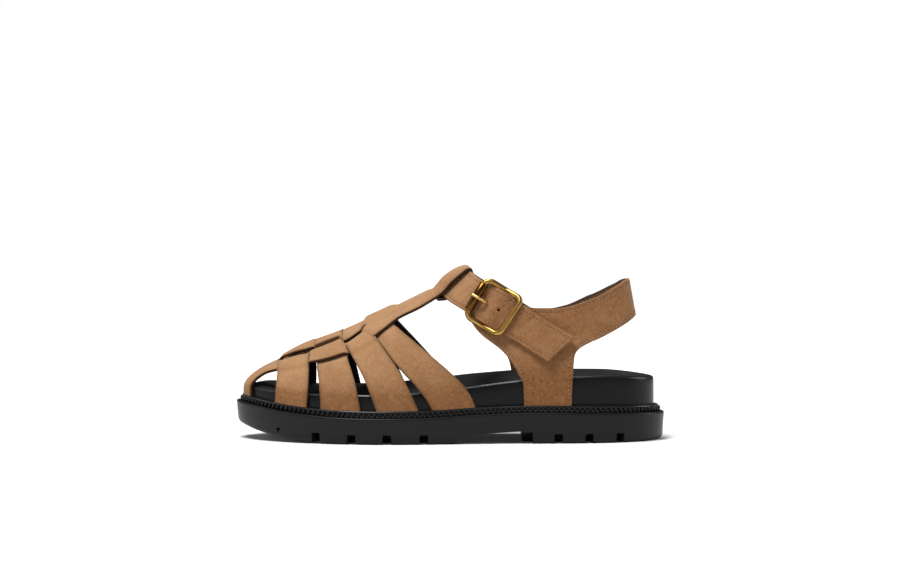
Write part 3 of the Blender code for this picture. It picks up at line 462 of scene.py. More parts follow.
def natural(xs, ys):
    """A natural cubic through the points, straight beyond its ends."""
    xs = np.asarray(xs, float)
    ys = np.asarray(ys, float)
    count = len(xs)
    step = np.diff(xs)
    system = np.eye(count)
    right = np.zeros((count,) + ys.shape[1:])
    for i in range(1, count - 1):
        system[i, i - 1:i + 2] = (step[i - 1], 2 * (step[i - 1] + step[i]), step[i])
        right[i] = 6 * ((ys[i + 1] - ys[i]) / step[i] - (ys[i] - ys[i - 1]) / step[i - 1])
    bend = np.linalg.solve(system, right)

    def value(x):
        x = np.asarray(x, float)
        i = np.clip(np.searchsorted(xs, x) - 1, 0, count - 2)
        h = step[i]
        a = (xs[i + 1] - x) / h
        b = (x - xs[i]) / h
        if ys.ndim > 1:
            h, a, b = h[..., None], a[..., None], b[..., None]
        line = a * ys[i] + b * ys[i + 1]
        return line + ((a ** 3 - a) * bend[i] + (b ** 3 - b) * bend[i + 1]) * h * h / 6

    return value


def curve_of(rows, columns, key, name):
    return monotone(column(rows, columns, key), column(rows, columns, name))


def wave(x):
    """0 to 1 with flat ends."""
    x = np.clip(x, 0, 1)
    return x * x * (3 - 2 * x)


def bell(x):
    """A soft hump of height 1 round 0."""
    return np.exp(-np.square(x))


def run_of(points):
    """Run along a line of points at each of them."""
    return np.concatenate([[0.0], np.cumsum(np.linalg.norm(np.diff(points, axis=0), axis=1))])


def closed_outline():
    """The sole's plan as a dense closed curve with its inward normals, toe tip first."""
    points = np.stack([column(OUTLINE, OUTLINE_COLUMNS, axis) for axis in ("x", "y")], 1)
    wrapped = np.concatenate([points[-OUTLINE_WRAP:], points, points[:OUTLINE_WRAP + 1]])
    chord = run_of(wrapped)
    around = (chord[OUTLINE_WRAP], chord[OUTLINE_WRAP + len(points)])
    dense = natural(chord, wrapped)(np.linspace(*around, OUTLINE_STEPS, endpoint=False))
    ahead = np.roll(dense, -1, axis=0) - np.roll(dense, 1, axis=0)
    ahead /= np.linalg.norm(ahead, axis=1)[:, None]
    inward = np.stack([-ahead[:, 1], ahead[:, 0]], 1)
    toe = int(np.argmin(dense[:, 0]))
    return np.roll(dense, -toe, axis=0), np.roll(inward, -toe, axis=0)


DENSE, INWARD = closed_outline()
HEEL = int(np.argmax(DENSE[:, 0]))
profile = {name: curve_of(PROFILE, PROFILE_COLUMNS, "x", name) for name in PROFILE_COLUMNS[1:]}
edge_lines = {}


def edge_y(side, inset, x):
    """Y of the outline stepped in by inset, on the outer (-1) or inner (+1) side."""
    if (side, inset) not in edge_lines:
        line = DENSE + inset * INWARD
        inner = np.concatenate([line[HEEL:], line[:1]])[::-1]
        edge_lines[side, inset] = line[:HEEL + 1] if side < 0 else inner
    half = edge_lines[side, inset]
    return np.interp(x, half[:, 0], half[:, 1])


def ring_places():
    """Places round the dense outline, closer together at the toe and the heel."""
    step = np.arange(RING_SIDE + 1) / RING_SIDE
    share = RING_EVEN * step + (1 - RING_EVEN) * (1 - np.cos(np.pi * step)) / 2
    inner = HEEL + (1 - share[::-1]) * (len(DENSE) - HEEL)
    return np.rint(np.concatenate([share * HEEL, inner[1:-1]])).astype(int)


PLACES = ring_places()


def ring(inset, height):
    """One closed ring of the sole, stepped in by inset, at the height that its x and y give."""
    flat = DENSE[PLACES] + inset * INWARD[PLACES]
    return np.column_stack([flat, height(flat[:, 0], flat[:, 1])])


def rim_side(side, x):
    return float(profile["rim_outer" if side < 0 else "rim_inner"](x))


def rim_z(x, y):
    """Height of the footbed's rim, eased from the outer to the inner side."""
    t = wave(y / RIM_EASE + 0.5)
    return (1 - t) * profile["rim_outer"](x) + t * profile["rim_inner"](x)


def bed_z(x, y):
    """Top of the bed: a smooth hollow inside the rim."""
    rim = (DENSE + BED_INSET * INWARD)[::RIM_SKIP]
    away = np.linalg.norm(np.stack([x, y], -1)[..., None, :] - rim, axis=-1).min(-1)
    return rim_z(x, y) - profile["bed_depth"](x) * wave((away - BED_LIP) / BED_SLOPE)


def above(name, step):
    """Height function of the sole: its rim, its bed or a column of its profile, plus a step."""
    if name == "rim":
        return lambda x, y: rim_z(x, y) + step
    if name == "bed":
        return lambda x, y: bed_z(x, y) + step
    return lambda x, y: profile[name](x) + step


# The last over the forefoot.
FOOT_INSET = BED_INSET - GAP - HALF
TIP = DENSE[0] + FOOT_INSET * INWARD[0]
RIDGE_PLACE = np.sqrt(np.maximum(column(RIDGE, RIDGE_COLUMNS, "x") - TIP[0], 0.0))
ridge = {name: natural(RIDGE_PLACE, column(RIDGE, RIDGE_COLUMNS, name)) for name in ("ridge_y", "ridge_z")}
full = {name: curve_of(RIDGE, RIDGE_COLUMNS, "x", name) for name in ("outer_full", "inner_full")}
strip_edges = {name: curve_of(STRIP, STRIP_COLUMNS, "x", name) for name in STRIP_COLUMNS[1:]}
strap_edges = {
    name: [
        natural(column(rows, STRAP_COLUMNS, "girth"), column(rows, STRAP_COLUMNS, end))
        for end in ("front", "rear")
    ]
    for name, rows in STRAPS.items()
}


def section(x):
    """The last's girth at x: a fine line from the outer welt over the ridge to the inner welt."""
    place = math.sqrt(max(x - TIP[0], 0.0))
    top_y = float(ridge["ridge_y"](place))
    top_z = float(ridge["ridge_z"](place))
    turn = np.linspace(0, math.pi / 2, SECTION_STEPS)
    halves = []
    for side, name in ((-1, "outer_full"), (1, "inner_full")):
        power = 2 / float(full[name](x))
        foot_y = float(edge_y(side, FOOT_INSET, x))
        shoulder = min(rim_side(side, x) + SHOULDER_UP, top_z - SHOULDER_UNDER)
        y = top_y + (foot_y - top_y) * np.cos(turn) ** power
        z = shoulder + (top_z - shoulder) * np.sin(turn) ** power
        drop = np.linspace(float(profile["ledge"](x)) - TUCK, shoulder, DROP_STEPS + 1)[:-1]
        halves.append((np.concatenate([np.full(DROP_STEPS, foot_y), y]), np.concatenate([drop, z])))
    outer, inner = halves
    return np.concatenate([outer[0], inner[0][-2::-1]]), np.concatenate([outer[1], inner[1][-2::-1]])


def girth_point(x, share):
    y, z = section(x)
    run = np.concatenate([[0.0], np.cumsum(np.hypot(np.diff(y), np.diff(z)))])
    run /= run[-1]
    return np.array([x, np.interp(share, run, y), np.interp(share, run, z)])


def height_at(x, y):
    """Top of the last above a place in plan."""
    line_y, line_z = section(x)
    keep = slice(DROP_STEPS, len(line_y) - DROP_STEPS)
    return float(np.interp(y, line_y[keep], line_z[keep]))


def grid_normals(points, core):
    """Unit normals of a grid of points, facing away from core, a point inside the shoe."""
    normal = np.cross(np.gradient(points, axis=0), np.gradient(points, axis=1))
    normal /= np.linalg.norm(normal, axis=2)[..., None] + 1e-12
    facing = np.sum(normal * (points - np.asarray(core)))
    return normal if facing > 0 else -normal


def spread(width, middle):
    """Shares across a strap: close together by its two edges, even between them."""
    near = np.array(EDGE_STEPS) / width
    between = np.linspace(near[-1], 1 - near[-1], middle + 2)[1:-1]
    return np.concatenate([near, between, 1 - near[::-1]])


def from_edges(points, split=None, open_rows=None):
    """Distance of each grid point from the nearest long edge, in mm along its row.

    Where open_rows says so the row is cut after column split, and the cut counts as an edge.
    """
    step = np.linalg.norm(np.diff(points, axis=1), axis=2)
    run = np.concatenate([np.zeros((len(points), 1)), np.cumsum(step, axis=1)], axis=1)
    away = np.minimum(run, run[:, -1:] - run)
    if split:
        cut = np.abs(run - run[:, split - 1:split])
        cut[:, split:] = np.abs(run - run[:, split:split + 1])[:, split:]
        away = np.where(np.asarray(open_rows)[:, None], np.minimum(away, cut), away)
    return away


# The ankle form.
ankle = {name: curve_of(ANKLE, ANKLE_COLUMNS, "z", name) for name in ANKLE_COLUMNS[1:]}
EASE_RISE = 26.0
EASE_ABOVE = 1.0
BACK_ROUND = 0.9


def ankle_y(side, x, z):
    """Inside of the quarter at x, z: the footbed's edge low down, easing into the ankle above the rim."""
    if x < ANKLE_X:
        share = (ANKLE_X - x) / (ANKLE_X - float(ankle["front_x"](z)))
        power = ANKLE_FRONT_FULL
    else:
        share = (x - ANKLE_X) / (float(ankle["back_x"](z)) - ANKLE_X)
        power = ANKLE_BACK_FULL
    half = float(ankle["outer_half" if side < 0 else "inner_half"](z))
    form = ANKLE_Y + side * half * max(0.0, 1 - min(share, 1.0) ** power) ** (1 / power)
    ease = float(wave((z - rim_side(side, x) - EASE_ABOVE) / EASE_RISE))
    return (1 - ease) * float(edge_y(side, BED_INSET - GAP, x)) + ease * form


OUTER_RUN = BACK_FROM - OUTER_SIDE[0][0]
INNER_RUN = BACK_FROM - INNER_SIDE[0][0]
QUARTER_RUN = OUTER_RUN + BACK_RUN + INNER_RUN
quarter_edges = {
    (name, end): curve_of(rows, columns, columns[0], end)
    for name, rows, columns in (
        ("outer", OUTER_SIDE, SIDE_COLUMNS), ("back", BACK, BACK_COLUMNS), ("inner", INNER_SIDE, SIDE_COLUMNS)
    )
    for end in ("low", "high")
}


def quarter_place(v):
    """Which part of the quarter a run v falls in, with its x or its turn from the outer side to the inner."""
    if v <= OUTER_RUN:
        return "outer", OUTER_SIDE[0][0] + v
    if v < OUTER_RUN + BACK_RUN:
        return "back", -90 + 180 * (v - OUTER_RUN) / BACK_RUN
    return "inner", BACK_FROM - (v - OUTER_RUN - BACK_RUN)


def quarter_edge(v, end):
    """Height of the quarter's low or high edge at run v."""
    part, place = quarter_place(v)
    return float(quarter_edges[part, end](90 - abs(place) if part == "back" else place))


def quarter_point(v, z):
    """Inside face of the quarter at run v and height z."""
    part, place = quarter_place(v)
    if part == "back":
        side = -1 if place < 0 else 1
        back = float(ankle["back_x"](z))
        x = BACK_FROM + (back - BACK_FROM) * math.cos(math.radians(place)) ** BACK_ROUND
    else:
        side = -1 if part == "outer" else 1
        x = place
    return np.array([x, ankle_y(side, x, z), z])


def quarter_frame(v, z):
    """Middle of the quarter's leather at run v and height z, and its outward normal."""
    step = QUARTER_STEP
    along = quarter_point(min(v + step, QUARTER_RUN), z) - quarter_point(max(v - step, 0.0), z)
    up = quarter_point(v, z + step) - quarter_point(v, z - step)
    out = np.cross(along, up)
    out /= np.linalg.norm(out)
    return quarter_point(v, z) + HALF * out, out


def ankle_strap_frame():
    """Middle line, width, slope and lean of the ankle strap against its run from the tail."""
    names = ANKLE_STRAP_COLUMNS
    points = []
    leans = []
    for row in ANKLE_STRAP:
        x, side, y, z, lift, rake = (row[names.index(n)] for n in ("x", "side", "y", "z", "lift", "rake"))
        lean = 0.0
        if y is None:
            y = ankle_y(side, x, z) + side * (STRAP_OUT + lift)
            step_x = LEAN_REACH * math.sin(math.radians(rake))
            step_z = LEAN_REACH * math.cos(math.radians(rake))
            rise = ankle_y(side, x + step_x, z + step_z) - ankle_y(side, x - step_x, z - step_z)
            lean = rise / (2 * LEAN_REACH)
        points.append((x, y, z))
        leans.append(lean)
    points = np.array(points)
    run = run_of(points)
    width = monotone(run, column(ANKLE_STRAP, names, "width"))
    rake = monotone(run, column(ANKLE_STRAP, names, "rake"))
    return natural(run, points), width, rake, monotone(run, leans), run


strap_line, strap_width, strap_rake, strap_lean, STRAP_RUN = ankle_strap_frame()
STRAP_PLACES = [row[0] for row in ANKLE_STRAP]
BUCKLE_RUN = float(STRAP_RUN[STRAP_PLACES.index("buckle")]) + BUCKLE_SHIFT
INSTEP_RUN = float(STRAP_RUN[STRAP_PLACES.index("instep")])
ANKLE_CORE = np.array([55.0, ANKLE_Y, 70.0])


def strap_axes(s):
    """Along, across and outward directions of the ankle strap at run s."""
    along = np.asarray(strap_line(s + STRAP_STEP)) - np.asarray(strap_line(s - STRAP_STEP))
    along = along / np.linalg.norm(along)
    tilt = math.radians(float(strap_rake(s)))
    across = np.array([math.sin(tilt), float(strap_lean(s)), math.cos(tilt)])
    across = across - along * float(np.dot(along, across))
    across = across / np.linalg.norm(across)
    out = np.cross(across, along)
    if float(np.dot(out, np.asarray(strap_line(s)) - ANKLE_CORE)) < 0:
        out = -out
    return along, across, out


def strap_base(s, w, n):
    """A place beside the ankle strap: w across from its middle line and n outwards."""
    along, across, out = strap_axes(s)
    return np.asarray(strap_line(s)) + w * across + n * out


def strap_point(s, w, n=0.0):
    """The same, with the strap's hump over the buckle's centre bar."""
    return strap_base(s, w, n + STRAP_HUMP * math.exp(-((s - BUCKLE_RUN) / HUMP_RUN) ** 2))


def tail_shift(s, w):
    """How far a point at run s lies towards the tail because the tail's end is slanted."""
    return w * math.tan(math.radians(TAIL_SLANT)) * max(0.0, 1 - s / TAIL_RUN)


def buckle_n(a):
    """Height of the buckle's rails along the strap: low at the centre bar, highest at the roller."""
    end = ROLLER_BAR_N if a > 0 else END_BAR_N
    return CENTRE_BAR_N + (end - CENTRE_BAR_N) * min(1.0, abs(a) / HALF_LONG) ** RAIL_CURVE


# Meshes and pieces.
def mesh_of(build, name):
    """A mesh from a finished bmesh, with its faces turned outwards."""
    build.normal_update()
    bmesh.ops.recalc_face_normals(build, faces=build.faces)
    mesh = bpy.data.meshes.new(name)
    build.to_mesh(mesh)
    build.free()
    return mesh


def piece(name, build, paints, replaced=(), angle=None):
    """Links a mesh as a piece that rides on the body, with its paints and what it stands for."""
    mesh = mesh_of(build, name) if isinstance(build, bmesh.types.BMesh) else build
    mesh.name = name
    for paint in paints:
        mesh.materials.append(paint)
    mesh.shade_smooth()
    if angle:
        mesh.set_sharp_from_angle(angle=math.radians(angle))
    made = bpy.data.objects.new(name, mesh)
    bpy.context.scene.collection.objects.link(made)
    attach(made, BODY)
    if replaced:
        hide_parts(*replaced)
    return made


def baked(made):
    """The mesh of an object with its modifiers applied."""
    bpy.context.view_layer.update()
    seen = made.evaluated_get(bpy.context.evaluated_depsgraph_get())
    return bpy.data.meshes.new_from_object(seen)


def scratch(name, mesh):
    """An object that only helps to make a piece, and is removed again."""
    made = bpy.data.objects.new(name, mesh)
    bpy.context.scene.collection.objects.link(made)
    return made


def cut(made, cutter):
    """Takes a cutter out of an object, as a modifier."""
    change = made.modifiers.new("cut", "BOOLEAN")
    change.object = cutter
    change.operation = "DIFFERENCE"
    change.solver = "EXACT"


def skin(build, rows, closed=True):
    """Quads between rows of vertices, each row closed round unless said otherwise."""
    for low, high in zip(rows, rows[1:]):
        count = len(low)
        for i in range(count if closed else count - 1):
            j = (i + 1) % count
            build.faces.new((low[i], low[j], high[j], high[i]))


def capped(build, rows):
    """A closed bar: quads between its rows and a face over each end."""
    skin(build, rows)
    build.faces.new(rows[0])
    build.faces.new(rows[-1])


def loft(rings, bottom, top, low_across, high_across):
    """A solid between rings of the sole, closed by grids that run from the outer to the inner side."""
    build = bmesh.new()
    rows = [[build.verts.new(p * MM) for p in points] for points in rings]
    skin(build, rows)
    size = len(rows[0])
    ends = ((rows[0], rings[0], bottom, low_across), (rows[-1], rings[-1], top, high_across))
    for row, points, height, across in ends:
        last = [row[0]]
        for i in range(1, RING_SIDE):
            share = (np.arange(1, across) / across)[:, None]
            spots = points[i] + share * (points[size - i] - points[i])
            spots[:, 2] = height(spots[:, 0], spots[:, 1])
            line = [row[i], *(build.verts.new(p * MM) for p in spots), row[size - i]]
            if len(last) == 1:
                for a, b in zip(line, line[1:]):
                    build.faces.new((last[0], a, b))
            else:
                skin(build, [last, line], closed=False)
            last = line
        for a, b in zip(last, last[1:]):
            build.faces.new((row[RING_SIDE], a, b))
    return build


# Leather by its cut edges: how much thinner and darker it is, and where its stitches lie.
EDGE_PRESS = 0.16
EDGE_PRESS_RUN = 0.45
EDGE_WEAR = 0.15
EDGE_WEAR_RUN = 1.1
BACK_DENT = 0.8
STITCH_GROOVE = 0.6
STITCH_IN = 2.2


def leather(name, points, out, away, paints, replaced=(),
            skip=None, sink=0.0, dent=0.0, wear=EDGE_WEAR, rub=0.0):
    """One closed piece of suede on its lining, from a grid of its middle: face, cut edge and lining.

    away is each point's distance from a cut edge, where the leather is pressed thinner; sink is the
    depth of the groove that its row of stitches pulls in, dent lowers the face by a grid of mm, wear is
    how dark its worn edges are and rub a grid of painted shade, further dark places that stand
    for shadow; skip says which quads are left open.
    """
    rows, columns = points.shape[:2]
    share = 1 - EDGE_PRESS * np.exp(-away / EDGE_PRESS_RUN)
    groove = sink * bell((away - STITCH_IN) / STITCH_GROOVE)
    face = points + (HALF * share - groove - dent)[..., None] * out
    back = points - (HALF * share + dent * BACK_DENT)[..., None] * out
    # The face darkens by its worn edges and by any painted shade that is given.
    dark = np.minimum(1.0, wear * np.exp(-away / EDGE_WEAR_RUN) + rub)
    build = bmesh.new()
    layer = build.verts.layers.float.new("edge")
    sheets = []
    for sheet in (face, back):
        verts = [[build.verts.new(p * MM) for p in line] for line in sheet]
        for vert, shade in zip(sum(verts, []), dark.ravel()):
            vert[layer] = shade
        sheets.append(verts)
    face, back = sheets
    quads = {(j, k) for j in range(rows - 1) for k in range(columns - 1) if skip is None or not skip(j, k)}
    for j, k in sorted(quads):
        corners = ((j, k), (j, k + 1), (j + 1, k + 1), (j + 1, k))
        build.faces.new([face[a][b] for a, b in corners]).material_index = 0
        build.faces.new([back[a][b] for a, b in corners[::-1]]).material_index = 2
        beside = ((j - 1, k), (j, k + 1), (j + 1, k), (j, k - 1))
        for i, neighbour in enumerate(beside):
            if neighbour not in quads:
                (a, b), (c, d) = corners[i], corners[(i + 1) % 4]
                build.faces.new((face[c][d], face[a][b], back[a][b], back[c][d])).material_index = 1
    return piece(name, build, paints, replaced)


def tube(build, points, radii, sides, closed=False, flat=1.0, side_axes=None):
    """A round bar along points, with a radius at each; side_axes gives the direction that flat squeezes."""
    points = np.asarray(points, float)
    if closed:
        ahead = np.roll(points, -1, axis=0) - np.roll(points, 1, axis=0)
    else:
        ahead = np.gradient(points, axis=0)
    ahead /= np.linalg.norm(ahead, axis=1)[:, None]
    rows = []
    for point, forward, radius, up in zip(points, ahead, radii, side_axes):
        up = up - forward * float(np.dot(up, forward))
        up /= np.linalg.norm(up)
        across = np.cross(forward, up)
        row = []
        for i in range(sides):
            turn = 2 * math.pi * i / sides
            spot = point + radius * (math.cos(turn) * across + flat * math.sin(turn) * up)
            row.append(build.verts.new(spot * MM))
        rows.append(row)
    if closed:
        skin(build, rows + rows[:1])
    else:
        capped(build, rows)


# A stitch: share along it, size and rise of each of its rings, and its thread.
STITCH_RINGS = ((0.0, 0.35, -0.25), (0.14, 0.85, 0.1), (0.5, 1.0, 0.3), (0.86, 0.85, 0.1), (1.0, 0.35, -0.25))
STITCH_SIDES = 6
THREAD_RISE = 0.62
THREAD_SINK = 0.14
# The needle hole is a low dark piece in the gap after each stitch: painted shade standing for the hole.
NEEDLE_RISE = 0.2
NEEDLE_LONG = (0.1, 0.9)


def pillow(build, start, end, out, width, height, paint):
    """One stitch, or the painted shade of the needle hole after it: a short rounded piece that dives in at
    both ends.
    """
    start, end, out = (np.asarray(v, float) for v in (start, end, out))
    ahead = end - start
    across = np.cross(out, ahead / np.linalg.norm(ahead))
    rows = []
    for share, size, rise in STITCH_RINGS:
        middle = start + share * ahead + rise * height * out
        row = []
        for i in range(STITCH_SIDES):
            turn = 2 * math.pi * i / STITCH_SIDES
            spot = middle + size * (width / 2 * math.cos(turn) * across + height * math.sin(turn) * out)
            row.append(build.verts.new(spot * MM))
        rows.append(row)
    first = len(build.faces)
    capped(build, rows)
    build.faces.ensure_lookup_table()
    for face in build.faces[first:]:
        face.material_index = paint


def sew(build, line, outs, sizes):
    """Stitches at the thread's pitch along a line of points on the leather, outs being its normals."""
    line = np.asarray(line, float)
    outs = np.asarray(outs, float)
    run = run_of(line)
    pitch, gap, thread = (size / MM for size in (sizes.stitch_pitch, sizes.stitch_gap, sizes.thread))

    def between(s, values):
        return np.array([np.interp(s, run, values[:, axis]) for axis in range(3)])

    for i in range(int(run[-1] / pitch)):
        start = between(i * pitch + gap / 2, line)
        end = between((i + 1) * pitch - gap / 2, line)
        out = between((i + 0.5) * pitch, outs)
        out /= np.linalg.norm(out)
        pillow(build, start, end, out, thread, thread * THREAD_RISE, 0)
        # Just past each stitch a low dark piece is painted shade standing for the needle hole.
        ahead = (end - start) / np.linalg.norm(end - start) * gap
        hole = [end + share * ahead for share in NEEDLE_LONG]
        pillow(build, *hole, out, thread, NEEDLE_RISE, 1)


def sew_through(build, middle, out, sizes):
    """Stitches along a line in the leather, on the face and, as the bobbin thread, on the lining."""
    sew(build, middle + (HALF - THREAD_SINK) * out, out, sizes)
    sew(build, middle - HALF * out, -out, sizes)


# Materials.
def add(tree, kind, inputs=None, **settings):
    """Adds a node with its settings; inputs are values or the sockets that feed them."""
    made = tree.nodes.new(kind)
    for key, value in settings.items():
        setattr(made, key, value)
    for key, value in (inputs or {}).items():
        if isinstance(value, bpy.types.NodeSocket):
            tree.links.new(value, made.inputs[key])
        else:
            made.inputs[key].default_value = value
    return made


def per_mm(size):
    """Texture scale for a pattern whose grains are size mm across."""
    return 1 / (size * MM)


def opaque(colour, share=1.0):
    """A colour for a socket, made darker or lighter by a share."""
    return (*(c * share for c in colour), 1.0)


def blank(name):
    """A new material: its tree, its shader and the object's own coordinates."""
    made = bpy.data.materials.new(name)
    made.use_nodes = True
    tree = made.node_tree
    return made, tree, tree.nodes["Principled BSDF"], add(tree, "ShaderNodeTexCoord").outputs["Object"]


def suede_paint(name, colours, top_light_from, top_light_full):
    """Calf suede, brushed: short raised fibres that scatter light, so no gloss, a soft bloom at grazing
    angles, cloudy patches where the nap lies another way, a fine speckle of fibre tips, and painted
    light: a paler tone on faces that turn up, standing for the light from above."""
    made, tree, shader, place = blank(name)
    # Fibre tips are about 0.1 mm; the speckle is drawn at 0.7 mm so that it shows at the photo's scale.
    speck = add(tree, "ShaderNodeTexNoise", {
        "Vector": place, "Scale": per_mm(0.7), "Detail": 3.0, "Roughness": 0.62}).outputs[0]
    cloud = add(tree, "ShaderNodeTexNoise", {
        "Vector": place, "Scale": per_mm(17.0), "Detail": 3.0, "Roughness": 0.55}).outputs[0]
    nap = add(tree, "ShaderNodeTexNoise", {
        "Vector": place, "Scale": per_mm(2.2), "Detail": 4.0, "Distortion": 0.6}).outputs[0]
    normal = add(tree, "ShaderNodeTexCoord").outputs["Normal"]
    facing = add(tree, "ShaderNodeSeparateXYZ", {0: normal}).outputs["Z"]
    ranges = (
        (speck, 0.34, 0.66, 1.0),
        (facing, top_light_from, top_light_full, 1.0),
        (nap, 0.4, 0.7, 0.25),
        (cloud, 0.36, 0.68, 0.25),
    )
    shares = []
    for value, low, high, most in ranges:
        shares.append(add(tree, "ShaderNodeMapRange", {
            "Value": value, "From Min": low, "From Max": high, "To Max": most}).outputs[0])
    tips, top_lit_share, ruffled, clouded = shares
    # tones[0] is the suede itself and tones[1] its lit copy, painted onto faces that turn up.
    tones = []
    for low, high in ((colours.suede_dark, colours.suede), (colours.suede_top_lit_fleck, colours.suede_pale_and_top_lit)):
        tones.append(add(tree, "ShaderNodeMix", {
            0: tips, 6: opaque(low), 7: opaque(high)}, data_type="RGBA").outputs[2])
    # Darkening from the mesh: worn cut edges, and painted shade where a vamp strap comes up through the slit.
    edge = add(tree, "ShaderNodeAttribute", attribute_name="edge").outputs["Fac"]
    layers = (
        (top_lit_share, tones[1]),
        (ruffled, opaque(colours.suede_pale_and_top_lit)),
        (clouded, opaque(colours.suede_dark)),
        (edge, opaque(colours.suede_edge_and_slit_shade)),
    )
    colour = tones[0]
    for share, over in layers:
        colour = add(tree, "ShaderNodeMix", {0: share, 6: colour, 7: over}, data_type="RGBA").outputs[2]
    tree.links.new(colour, shader.inputs["Base Color"])
    pile = add(tree, "ShaderNodeBump", {"Height": speck, "Strength": 0.6, "Distance": 0.22 * MM})
    soft = add(tree, "ShaderNodeBump", {
        "Height": nap, "Strength": 0.4, "Distance": 0.3 * MM, "Normal": pile.outputs[0]})
    tree.links.new(soft.outputs[0], shader.inputs["Normal"])
    shader.inputs["Roughness"].default_value = 0.96
    shader.inputs["Specular IOR Level"].default_value = 0.12
    shader.inputs["Sheen Weight"].default_value = 0.3
    shader.inputs["Sheen Roughness"].default_value = 0.4
    shader.inputs["Sheen Tint"].default_value = opaque(colours.suede_bloom)
    return made


def lining_paint(name, colour, grain=0.7):
    """Pigskin lining, smooth side out: matt, with a small pebbled grain and faint pores."""
    made, tree, shader, place = blank(name)
    pebbles = {"Vector": place, "Scale": per_mm(grain)}
    cells = add(tree, "ShaderNodeTexVoronoi", pebbles, feature="DISTANCE_TO_EDGE")
    tone = add(tree, "ShaderNodeTexNoise", {"Vector": place, "Scale": per_mm(6.0), "Detail": 3.0})
    share = add(tree, "ShaderNodeMapRange", {
        "Value": tone.outputs[0], "From Min": 0.3, "From Max": 0.7, "To Max": 0.5})
    mix = add(tree, "ShaderNodeMix", {
        0: share.outputs[0], 6: opaque(colour), 7: opaque(colour, 0.6)}, data_type="RGBA")
    tree.links.new(mix.outputs[2], shader.inputs["Base Color"])
    bump = add(tree, "ShaderNodeBump", {"Height": cells.outputs[0], "Strength": 0.35, "Distance": 0.1 * MM})
    tree.links.new(bump.outputs[0], shader.inputs["Normal"])
    shader.inputs["Roughness"].default_value = 0.72
    shader.inputs["Specular IOR Level"].default_value = 0.3
    return made


def edge_paint(name, colour):
    """Cut leather edge, dyed and left raw: fibrous, matt, darker than the face."""
    made, tree, shader, place = blank(name)
    fibre = add(tree, "ShaderNodeTexNoise", {"Vector": place, "Scale": per_mm(0.6), "Detail": 4.0})
    share = add(tree, "ShaderNodeMapRange", {"Value": fibre.outputs[0], "From Min": 0.35, "From Max": 0.7})
    mix = add(tree, "ShaderNodeMix", {
        0: share.outputs[0], 6: opaque(colour), 7: opaque(colour, 1.9)}, data_type="RGBA")
    tree.links.new(mix.outputs[2], shader.inputs["Base Color"])
    bump = add(tree, "ShaderNodeBump", {"Height": fibre.outputs[0], "Strength": 0.5, "Distance": 0.12 * MM})
    tree.links.new(bump.outputs[0], shader.inputs["Normal"])
    shader.inputs["Roughness"].default_value = 0.85
    shader.inputs["Specular IOR Level"].default_value = 0.2
    return made


def thread_paint(name, colour):
    """Bonded polyester thread, twisted: a faint gloss, and darker bands that run slanted round it, painted
    shade in the grooves of the twist.
    """
    made, tree, shader, place = blank(name)
    twist = add(tree, "ShaderNodeTexWave", {"Vector": place, "Scale": per_mm(4.2), "Distortion": 1.5})
    mix = add(tree, "ShaderNodeMix", {
        0: twist.outputs["Fac"], 6: opaque(colour, 0.7), 7: opaque(colour)}, data_type="RGBA")
    tree.links.new(mix.outputs[2], shader.inputs["Base Color"])
    shader.inputs["Roughness"].default_value = 0.6
    shader.inputs["Specular IOR Level"].default_value = 0.35
    return made


def rubber_paint(name, colour, rough, level, grain=0.35):
    """Vulcanised rubber from a bead-blasted mould: near black, satin, with a fine even grain and
    cloudier gloss where it was handled."""
    made, tree, shader, place = blank(name)
    fine = add(tree, "ShaderNodeTexNoise", {"Vector": place, "Scale": per_mm(grain), "Detail": 2.0})
    haze = add(tree, "ShaderNodeTexNoise", {"Vector": place, "Scale": per_mm(22.0), "Detail": 4.0})
    share = add(tree, "ShaderNodeMapRange", {"Value": haze.outputs[0], "From Min": 0.3, "From Max": 0.7})
    mix = add(tree, "ShaderNodeMix", {
        0: share.outputs[0], 6: opaque(colour, 0.88), 7: opaque(colour, 1.12)}, data_type="RGBA")
    tree.links.new(mix.outputs[2], shader.inputs["Base Color"])
    gloss = add(tree, "ShaderNodeMapRange", {
        "Value": haze.outputs[0], "From Min": 0.3, "From Max": 0.7,
        "To Min": rough - 0.03, "To Max": rough + 0.04})
    tree.links.new(gloss.outputs[0], shader.inputs["Roughness"])
    bump = add(tree, "ShaderNodeBump", {"Height": fine.outputs[0], "Strength": 0.25, "Distance": 0.06 * MM})
    tree.links.new(bump.outputs[0], shader.inputs["Normal"])
    shader.inputs["IOR"].default_value = 1.52
    shader.inputs["Specular IOR Level"].default_value = level
    return made


def brass_paint(name, bright, dark, rough=0.34):
    """Brass, antique plated and tumbled: warm gold with brown left in the plating, reflections a little
    blurred by fine tumbling marks."""
    made, tree, shader, place = blank(name)
    patina = add(tree, "ShaderNodeTexNoise", {"Vector": place, "Scale": per_mm(9.0), "Detail": 2.0})
    share = add(tree, "ShaderNodeMapRange", {
        "Value": patina.outputs[0], "From Min": 0.4, "From Max": 0.8, "To Max": 0.7})
    mix = add(tree, "ShaderNodeMix", {
        0: share.outputs[0], 6: opaque(bright), 7: opaque(dark)}, data_type="RGBA")
    tree.links.new(mix.outputs[2], shader.inputs["Base Color"])
    gloss = add(tree, "ShaderNodeMapRange", {
        "Value": patina.outputs[0], "From Min": 0.3, "From Max": 0.7,
        "To Min": rough - 0.05, "To Max": rough + 0.1})
    tree.links.new(gloss.outputs[0], shader.inputs["Roughness"])
    shader.inputs["Metallic"].default_value = 1.0
    return made


